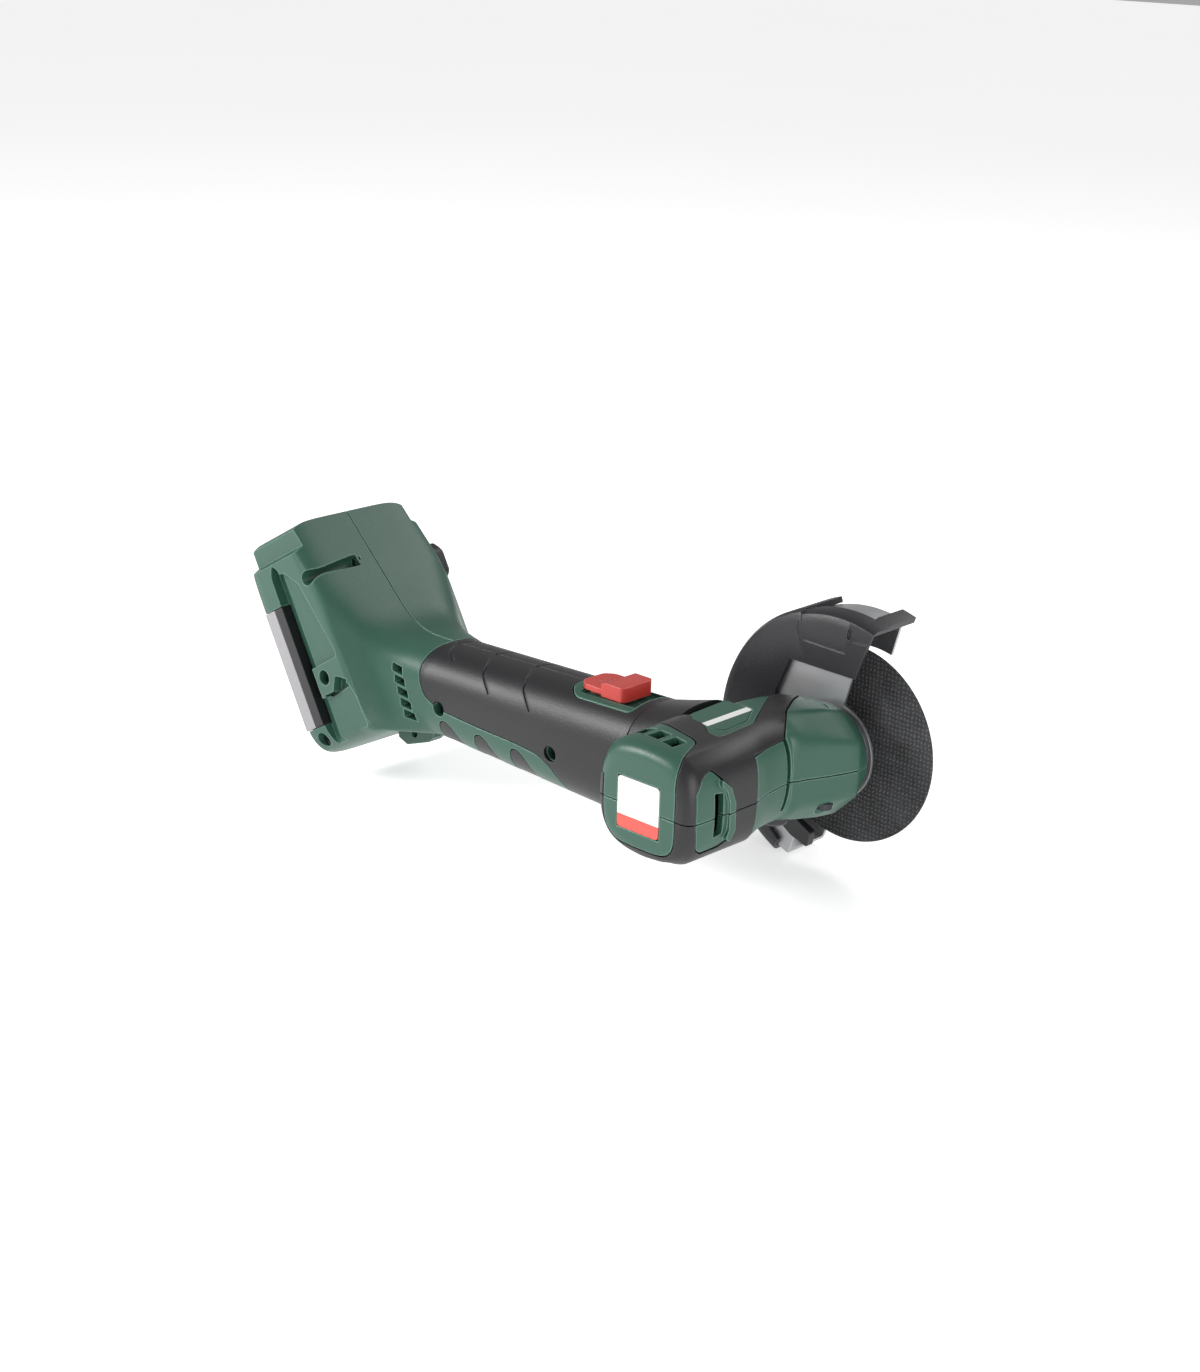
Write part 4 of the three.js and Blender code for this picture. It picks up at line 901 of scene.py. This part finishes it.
def head_pieces():
    """The hard head with its sunk fields, and the soft bumper that fills them."""
    shell = cut(head_form(), head_form(HEAD_WALL))
    skin = cut(head_form(-3), head_form(BUMPER_SKIN + GAP), collar_form(-3, -60, -30.2))
    shell = cut(shell, keep_in(skin, bumper_area(FIELD_GAP)))
    rim = prism(rounded(FRAME_RIM, 0.5), "x", 12.4, 15.3)
    shell = cut(join(shell, rim), *head_cutters())
    bumper = cut(head_form(-PROUD), head_form(BUMPER_SKIN))
    bumper = keep_in(bumper, bumper_area(0), block((-OUT, END, -OUT), (OUT, OUT, OUT)))
    collar = cut(collar_form(0, -43.7, -24), collar_form(2.2, -60, -10), head_form(BUMPER_SKIN - 0.1))
    bumper = cut(join(bumper, collar), *head_cutters())
    return shell, bumper


shell, bumper = head_pieces()
for side, word in ((1, "upper"), (-1, "lower")):
    hand_over(half_of(copy(shell), side, 2), f"head_half_{word}", "housing", GREEN, f"head_shell_{word}")
    hand_over(half_of(copy(bumper), side, 2), f"soft_bumper_{word}", "housing", SOFT, f"head_bumper_{word}")
bpy.data.objects.remove(shell)
bpy.data.objects.remove(bumper)


HARD_EDGE = 20000  # turns a distance in metres into an on-off mask


def inlay_finish():
    """Smooth green with one plain pale stripe along it."""
    material, wire = new_material("inlay_paint")
    place = object_place(wire)
    across = wire.node("ShaderNodeSeparateXYZ", None, {"Vector": place}, "X")
    middle = (TOOL @ Vector((-8.6, 0, 0))).x
    away = wire.node("ShaderNodeMath", {"operation": "ABSOLUTE"}, {0: across - middle})
    stripe = wire.node("ShaderNodeClamp", None, {"Value": (1.7 * MM - away) * HARD_EDGE})
    base = mix_colour(wire, stripe, linear("2d5647"), linear("e4e5e2"))
    close_material(wire, base, 0.35 + noise(wire, place, 60) * 0.1, edge_normal(wire, 0.0002))
    return material


hand_over(top_inlay(), "top_inlay", "housing", inlay_finish(), "name_inlay")


def end_label():
    low, high = node_box("end_label")
    outline = [(low.x, low.z), (high.x, low.z), (high.x, high.z), (low.x, high.z)]
    return prism(rounded(outline, 1.6), "y", low.y, high.y)


def label_finish():
    """White enamel with one plain red band along its lower edge."""
    material, wire = new_material("label_enamel")
    place = object_place(wire)
    height = wire.node("ShaderNodeSeparateXYZ", None, {"Vector": place}, "Z")
    low, high = node_box("end_label")
    level = (TOOL @ (low + (high - low) * 0.26)).z
    band = wire.node("ShaderNodeClamp", None, {"Value": (level - height) * HARD_EDGE})
    base = mix_colour(wire, band, linear("ececea"), linear("e2493c"))
    eased = edge_normal(wire, 0.0003)
    close_material(wire, base, 0.3 + noise(wire, place, 60) * 0.1, eased, **{"Coat Weight": 0.4})
    return material


hand_over(end_label(), "end_badge", "housing", label_finish(), "end_label")


# ---------- Slide switch ----------
def slider():
    """A low red plate with a thick thumb block at its front."""
    low, high = node_box("slide_switch")
    back, front, half, top = low.x, high.x, high.y, high.z
    plate_top = top - 2.8
    outline = [
        (back, -half + 3), (back + 3.5, -half), (front - 8, -half), (front - 8, half), (back + 3.5, half),
        (back, half - 3),
    ]
    body = prism(rounded(outline, 1.6), "z", top - 4.8, plate_top)
    thumb = [
        (front - 11.5, -half), (front - 1.4, -half), (front, -half + 1.6), (front, half - 1.6),
        (front - 1.4, half), (front - 11.5, half), (front - 13, 0),
    ]
    ramp = [
        (front - 20, plate_top + 0.02), (front - 20, 90), (front - 9.5, 90), (front - 9.5, top + 0.01),
        (front - 13, plate_top + 0.9),
    ]
    bevel = [(front - 0.9, top + 1), (front + 1, top + 1), (front + 1, top - 2.2)]
    thumb_block = prism(rounded(thumb, 0.8), "z", top - 5.6, top)
    thumb_block = cut(thumb_block, prism(ramp, "y", -OUT, OUT), prism(bevel, "y", -OUT, OUT))
    neck = block((back + 3, -4.5, low.z), (front - 3, 4.5, top - 5))
    body = join(body, thumb_block, neck)
    grooves = []
    for i in range(2):
        x = back + 5.2 + i * 2.2
        grooves.append(block((x, -3.2, plate_top - 0.35), (x + 0.7, 3.2, plate_top + 3)))
    return cut(body, *grooves)


hand_over(slider(), "slide_thumb", "slider", RED, "slide_switch")


# ---------- Battery seat ----------
PLATE_BACK = 6.5
TRACK_HALF, TRACK_TOP, TRACK_DEPTH = 22, 19, 4
LIP_DEPTH = 1.6


def terminal_opening(front, back):
    return block((front, -13.3, -8.3), (back, 13.3, 8.3), FOOT)


def seat_plate():
    """The grey plate with its open-ended, undercut track."""
    corners = [(0, -SEAT_HIGH), (PLATE_BACK, -SEAT_HIGH), (PLATE_BACK, SEAT_HIGH), (0, SEAT_HIGH)]
    body = prism(corners, "y", -SEAT_HALF, SEAT_HALF, FOOT)
    track = block((-1, -TRACK_HALF, -OUT), (TRACK_DEPTH, TRACK_HALF, TRACK_TOP), FOOT)
    undercut = block((LIP_DEPTH, -25, -OUT), (TRACK_DEPTH, 25, TRACK_TOP), FOOT)
    return cut(body, track, undercut, terminal_opening(-1, 8))


def seat_frame():
    body = block((PLATE_BACK + GAP, -SEAT_HALF, -SEAT_HIGH), (SEAT_BACK, SEAT_HALF, SEAT_HIGH), FOOT)
    return cut(body, terminal_opening(5, 13))


hand_over(seat_plate(), "rail_plate", "housing", SEAT_GREY, "battery_seat_plate")
hand_over(seat_frame(), "rail_frame", "housing", HARD, "battery_seat_frame")


# ---------- Guard, its cover and latch ----------
def arc_wedge(start, end):
    """A slice of pie round the spindle between two angles, for keeping part of a turned piece."""
    turns = np.radians(np.linspace(start, end, 40))
    rim = [(90 * math.cos(a), 90 * math.sin(a)) for a in turns]
    return prism([(0, 0), *rim], "y", 0, 100)


# Angles are in degrees from +X, up and over.
GUARD_FROM, GUARD_TO = 75, 250
COVER_FROM, COVER_TO = 71, 244
COVER_STEP = 108.6  # where the cover begins to wrap the whole rim
ROUND = 220
PIN_HOLE = 1.8
GUARD_PROFILE = [
    (17, 44.7), (48.8, 44.7), (49.6, 44.95), (50, 45.7), (50, 66.2), (49.7, 66.9), (49, 67.2), (35, 67.2),
    (35, 66), (48.2, 66), (48.8, 65.4), (48.8, 46.6), (48.2, 45.9), (17, 45.9),
]
HUB_PROFILE = [(17, 44.7), (19, 44.7), (19, 45.9), (17, 45.9)]
BAR_PROFILE = [(50.3, 51), (51.7, 51), (52.6, 54), (52.6, 68.4), (50.3, 68.4)]
COVER_WINDOW = [
    (-19.6, 30.6), (40, 29.8), (40, -60), (-14, -60), (-18, -44), (-31, -33), (-34, -22), (-26, -14),
    (-25.6, 17),
]


def guard_shell():
    cup = keep_in(turned(GUARD_PROFILE, ROUND), arc_wedge(GUARD_FROM, GUARD_TO))
    x, _, z = node_middle("lever_pin")
    return cut(join(cup, turned(HUB_PROFILE)), rod(PIN_HOLE, (x, 40, z), (x, 50, z)))


def cover_arc(outer, rim, start, end):
    """One stretch of the cover: its face, bevel and rim between two angles."""
    profile = [
        (20, 42.9), (outer - 4, 42.9), (outer - 1, 44.2), (outer, 46.0), (outer, rim), (50.3, rim),
        (50.3, 44.4), (20, 44.4),
    ]
    return keep_in(turned(profile, ROUND), arc_wedge(start, end))


def guard_cover():
    wide = cover_arc(52.6, 68.4, COVER_STEP, COVER_TO)
    narrow = cover_arc(51.7, 53, COVER_FROM, COVER_STEP + 0.01)
    cup = join(wide, narrow)
    window = prism(rounded(COVER_WINDOW, 1.0), "y", 40, 46)
    bar = keep_in(turned(BAR_PROFILE, ROUND), arc_wedge(COVER_FROM, COVER_FROM + 7))
    cup = join(cut(cup, window), bar)
    run = [(-16.6, 42.9, 49.5), (-16.8, 42.9, 41.5), (-13.6, 42.9, 39.4), (5.2, 42.9, 38.8)]
    lines = [rod(0.35, a, b, 12) for a, b in zip(run, run[1:])]
    notch = prism([(5.4, 44.4), (8.4, 43.6), (60, 47), (60, 60), (7.6, 60)], "y", 40, 43.9)
    return cut(cup, *lines, notch)


def guard_lever():
    low, high = node_box("guard_lever")
    x, _, z = node_middle("lever_pin")
    outline = [
        (x - 3.4, z - 2), (x - 1.6, z + 2.4), (x + 1.6, z + 3.2), (x + 5, z + 1), (-10, -30.5), (-4, -33.5),
        (-5, -39.5), (-13, -37), (x + 2, z - 6),
    ]
    body = prism(rounded(outline, 1.0), "y", low.y, high.y)
    return cut(body, rod(PIN_HOLE, (x, 30, z), (x, OUT, z)))


hand_over(guard_shell(), "guard_cup", "guard", SHEET, "guard_shell")
hand_over(guard_cover(), "guard_clip_cover", "guard", CHARCOAL, "guard_cover")
hand_over(guard_lever(), "guard_latch_lever", "latch", HARD, "guard_lever")


# ---------- Disc and its clamp ----------
def woven():
    """Bonded abrasive with its woven glass mesh showing through."""
    material, wire = new_material("bonded_abrasive")
    place = object_place(wire)
    sockets = {"Vector": place, "Scale": 190, "Distortion": 3.6, "Detail": 3.0, "Detail Scale": 2.0}
    warp, weft = (wire.node("ShaderNodeTexWave", {"bands_direction": axis}, sockets) for axis in "XZ")
    grit = noise(wire, place, 1900, 4)
    patch = noise(wire, place, 55, 3)
    weave = warp * weft
    bump = bumped(wire, weave * 0.7 + grit * 0.6, edge_normal(wire, 0.0002), 0.0005, 0.9)
    tone = wire.node("ShaderNodeClamp", None, {"Value": weave * 0.4 + grit * 0.6 + patch * 0.6 - 0.5})
    base = mix_colour(wire, tone, linear("1d1d1e"), linear("6e6f72"))
    close_material(wire, base, 0.95 - grit * 0.15, bump)
    return material


ABRASIVE = woven()
BORE = 5.3


def washer(name, edge=0.5, sides=128):
    """A turned ring the size of its frame node with its rims eased."""
    low, high = node_box(name)
    radius = (high.x - low.x) / 2
    profile = [
        (BORE, low.y), (radius - edge, low.y), (radius, low.y + edge), (radius, high.y - edge),
        (radius - edge, high.y), (BORE, high.y),
    ]
    return turned(profile, sides)


def clamp_screw():
    low, high = node_box("clamp_screw")
    radius = (high.x - low.x) / 2
    head_low = high.y - 4.5
    profile = [
        (0, low.y), (2.5, low.y), (2.5, head_low), (radius - 0.6, head_low), (radius, head_low + 0.6),
        (radius, high.y - 1.2), (radius - 1.2, high.y), (0, high.y),
    ]
    socket = prism(circle(2.7, 6), "y", head_low + 1.2, high.y + 1)
    return cut(turned(profile), socket)


hand_over(washer("cutting_disc", 0.15, 256), "abrasive_disc", "spindle", ABRASIVE, "cutting_disc")
hand_over(washer("inner_flange"), "seat_flange", "spindle", STEEL, "inner_flange")
hand_over(washer("outer_flange"), "clamp_flange", "spindle", STEEL, "outer_flange")
hand_over(clamp_screw(), "clamp_bolt", "spindle", DARK_STEEL, "clamp_screw")


# ---------- Lock button and key grip ----------
def lock_button():
    low, high = node_box("lock_button")
    y = (low.y + high.y) / 2
    radius = (high.x - low.x) / 2
    base = low.z
    profile = [
        (0, radius - 1.2), (0.35, radius - 0.5), (1.0, radius), (3.4, radius), (3.4, radius - 0.8),
        (5.2, radius - 0.8), (5.2, 1.5), (high.z - base, 1.5),
    ]
    rings = [np.array([(u, y + v, base + up) for u, v in circle(r, 64)]) for up, r in profile]
    dish = rod(3.2, (0, y, base - 1), (0, y, base + 0.4), 48)
    return cut(loft(rings), dish)


hand_over(lock_button(), "lock_press_button", "lock", CHARCOAL, "lock_button")


KEY_AT = 25  # how far forward and how far up the foot the key's handle sits
KEY_HALF = 7.5
KEY_INNER, KEY_RIM, KEY_OUTER = 33.8, 38.9, 40.3


def key_grip():
    """A rounded handle with a raised, ribbed face."""
    size = KEY_HALF
    outline = [
        (-size, -size), (-size, size * 0.7), (-size * 0.5, size * 1.1), (size * 0.5, size * 1.1),
        (size, size * 0.6), (size, -size * 0.8), (size * 0.5, -size * 1.1), (-size * 0.6, -size * 1.1),
    ]
    placed = [(KEY_AT + f, KEY_AT + t) for f, t in outline]
    inner = [(KEY_AT + f * 0.86, KEY_AT + t * 0.86) for f, t in outline]
    body = prism(rounded(placed, 1.4), "y", KEY_INNER, KEY_RIM, FOOT)
    body = join(body, prism(rounded(inner, 1.2), "y", KEY_RIM - 0.1, KEY_OUTER, FOOT))
    ribs = []
    for i in range(5):
        f = KEY_AT - 5.5 + i * 2.2
        ribs.append(block((f, KEY_OUTER - 0.5, KEY_AT - 4), (f + 0.9, 45, KEY_AT + 4), FOOT))
    return cut(body, *ribs)


hand_over(key_grip(), "key_handle", "key", CHARCOAL, "hex_key_grip")


# ---------- Screws ----------
SCREW_SIZES = ("Head Radius", "Head Depth", "Shank Radius", "Shank Length")


def screw_tree():
    """A socket screw at every vertex: head, shank and a six-sided recess cut into its face."""
    tree = bpy.data.node_groups.new("screws", "GeometryNodeTree")
    face = tree.interface
    face.new_socket("Seats", in_out="INPUT", socket_type="NodeSocketGeometry")
    for name in SCREW_SIZES:
        face.new_socket(name, in_out="INPUT", socket_type="NodeSocketFloat")
    face.new_socket("Turn", in_out="INPUT", socket_type="NodeSocketRotation")
    face.new_socket("Metal", in_out="INPUT", socket_type="NodeSocketMaterial")
    face.new_socket("Screws", in_out="OUTPUT", socket_type="NodeSocketGeometry")
    given = {socket.name: Wire(tree, socket) for socket in tree.nodes.new("NodeGroupInput").outputs}
    radius, depth, shank, length = (given[name] for name in SCREW_SIZES)
    wire = Wire(tree)

    def bar(sides, radius, length, middle):
        sizes = {"Vertices": sides, "Radius": radius, "Depth": length}
        made = wire.node("GeometryNodeMeshCylinder", None, sizes)
        place = wire.node("ShaderNodeCombineXYZ", None, {"Z": middle})
        return wire.node("GeometryNodeTransform", None, {"Geometry": made, "Translation": place})

    head = bar(40, radius, depth, depth * 0.5)
    stem = bar(24, shank, length, length * -0.5)
    recess = bar(6, radius * 0.5, depth, depth * 0.95)
    meshes = {"Mesh 1": head, "Mesh 2": recess}
    hollow = wire.node("GeometryNodeMeshBoolean", {"operation": "DIFFERENCE"}, meshes)
    both = tree.nodes.new("GeometryNodeJoinGeometry")
    for part in (hollow, stem):
        tree.links.new(part.socket, both.inputs[0])
    whole = Wire(tree, both.outputs[0])
    seated = {"Points": given["Seats"], "Instance": whole, "Rotation": given["Turn"]}
    placed = wire.node("GeometryNodeInstanceOnPoints", None, seated)
    real = wire.node("GeometryNodeRealizeInstances", None, {"Geometry": placed})
    coated = wire.node("GeometryNodeSetMaterial", None, {"Geometry": real, "Material": given["Metal"]})
    tree.links.new(coated.socket, tree.nodes.new("NodeGroupOutput").inputs[0])
    return tree


SCREWS = screw_tree()
SCREW = {"Head Radius": 2.9, "Head Depth": 2.4, "Shank Radius": 1.4}


def screws(name, names, outward, length):
    """All screws of one kind as one piece, heads facing outward."""
    seats = []
    axis = 1 if outward.y else 2
    for screw in names:
        seat = node_middle(screw)
        seat[axis] = node_box(screw)[0][axis] + SCREW["Head Depth"]
        seats.append(seat)
    mesh = bpy.data.meshes.new(name)
    mesh.from_pydata([tuple(seat) for seat in seats], [], [])
    piece = bpy.data.objects.new(name, mesh)
    bpy.context.scene.collection.objects.link(piece)
    maker = piece.modifiers.new("screws", "NODES")
    maker.node_group = SCREWS
    turn = outward.to_track_quat("Z", "Y").to_euler()
    values = {**SCREW, "Shank Length": length, "Turn": turn, "Metal": DARK_STEEL}
    for item in SCREWS.interface.items_tree:
        if item.in_out == "INPUT" and item.name in values:
            maker[item.identifier] = values[item.name]
    settle(piece)
    hand_over(piece, name, "housing", DARK_STEEL, *names)


screws("handle_screws", HANDLE_SCREWS, Vector((0, -1, 0)), 24)
screws("head_screws", HEAD_SCREWS, Vector((0, 0, -1)), HEAD_SCREW_LENGTH)


# ---------- Frame nodes that show as they are ----------
paint(BOARD, "control_board")
paint(HARD, "board_tray", "switch_module", "terminal_block")
paint(LEAD, "battery_lead", "motor_lead_loom", "cooling_fan")
paint(DARK_STEEL, "motor_stator")
paint(COPPER, "motor_windings")
paint(STEEL, "motor_rotor", "motor_shaft", "motor_bearing_rear", "motor_bearing_front", "spindle_gear")
paint(STEEL, "spindle", "spindle_bearing_inner", "spindle_bearing_outer", "detent_spring", "lock_spring")
paint(STEEL, "hex_key", "lever_pin", "bearing_flange")
paint(BRASS, "motor_pinion", "contact_blade_1", "contact_blade_2", "contact_blade_3")
paint(CAST, "bearing_carrier")


# ---------- Floor, light and camera ----------
def stage():
    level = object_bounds()[0][2] - 0.002
    size = 6.0
    mesh = bpy.data.meshes.new("floor")
    corners = [(-size, -size, level), (size, -size, level), (size, size, level), (-size, size, level)]
    mesh.from_pydata(corners, [], [(0, 1, 2, 3)])
    floor = bpy.data.objects.new("floor", mesh)
    bpy.context.scene.collection.objects.link(floor)
    material, wire = new_material("floor_paint")
    place = object_place(wire)
    tone = noise(wire, place, 3)
    base = mix_colour(wire, tone, (0.86, 0.86, 0.86, 1), (0.9, 0.9, 0.9, 1))
    flat = wire.node("ShaderNodeNewGeometry", None, None, "Normal")
    glow = {"Emission Color": (1, 1, 1, 1), "Emission Strength": 0.55}
    close_material(wire, base, 0.9, flat, **glow)
    mesh.materials.append(material)
    floor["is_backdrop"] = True


def area_light(name, direction, distance, size, power):
    """A soft light that looks at the middle of the object from a direction."""
    low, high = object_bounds()
    middle = (Vector(low) + Vector(high)) / 2
    data = bpy.data.lights.new(name, "AREA")
    data.shape = "RECTANGLE"
    data.size = size[0]
    data.size_y = size[1]
    data.energy = power
    light = bpy.data.objects.new(name, data)
    along = Vector(direction).normalized()
    light.location = middle + along * distance
    light.rotation_euler = (-along).to_track_quat("-Z", "Y").to_euler()
    bpy.context.scene.collection.objects.link(light)


def lights():
    world = bpy.data.worlds.new("studio")
    world.use_nodes = True
    sky = world.node_tree.nodes["Background"].inputs
    sky["Color"].default_value = (1, 1, 1, 1)
    sky["Strength"].default_value = 0.38
    bpy.context.scene.world = world
    area_light("key", (-0.9, -1.0, 0.75), 1.3, (0.7, 0.35), 15)
    area_light("fill", (1.0, -0.45, 0.25), 1.3, (0.5, 0.5), 6)
    area_light("rim", (0.3, 1.0, 1.0), 1.4, (1.2, 0.4), 6)


# The eye stands forward of the tool on its motor side, a little above it, and is turned a touch.
EYE = Vector((474.5, -586.4, 301.5))
HEADING = math.radians(43.087)
LOOK_DOWN = math.radians(19.598)
ROLL = math.radians(1.681)
LENS = 60.36
SENSOR = 36


def camera():
    data = bpy.data.cameras.new("view")
    data.lens = LENS
    data.sensor_width = SENSOR
    data.sensor_height = SENSOR
    data.sensor_fit = "AUTO"
    data.clip_start = 0.01
    data.dof.use_dof = False
    view = bpy.data.objects.new("view", data)
    level = math.cos(LOOK_DOWN)
    forward = Vector((-math.sin(HEADING) * level, math.cos(HEADING) * level, -math.sin(LOOK_DOWN)))
    right = forward.cross(Vector((0, 0, 1))).normalized()
    up = right.cross(forward)
    turned_right = right * math.cos(ROLL) + up * math.sin(ROLL)
    turned_up = up * math.cos(ROLL) - right * math.sin(ROLL)
    turn = Matrix((turned_right, turned_up, -forward)).transposed().to_4x4()
    view.matrix_world = Matrix.Translation(TOOL @ EYE) @ turn
    bpy.context.scene.collection.objects.link(view)
    bpy.context.scene.camera = view


stage()
lights()
camera()
bpy.context.scene.view_settings.view_transform = "Standard"
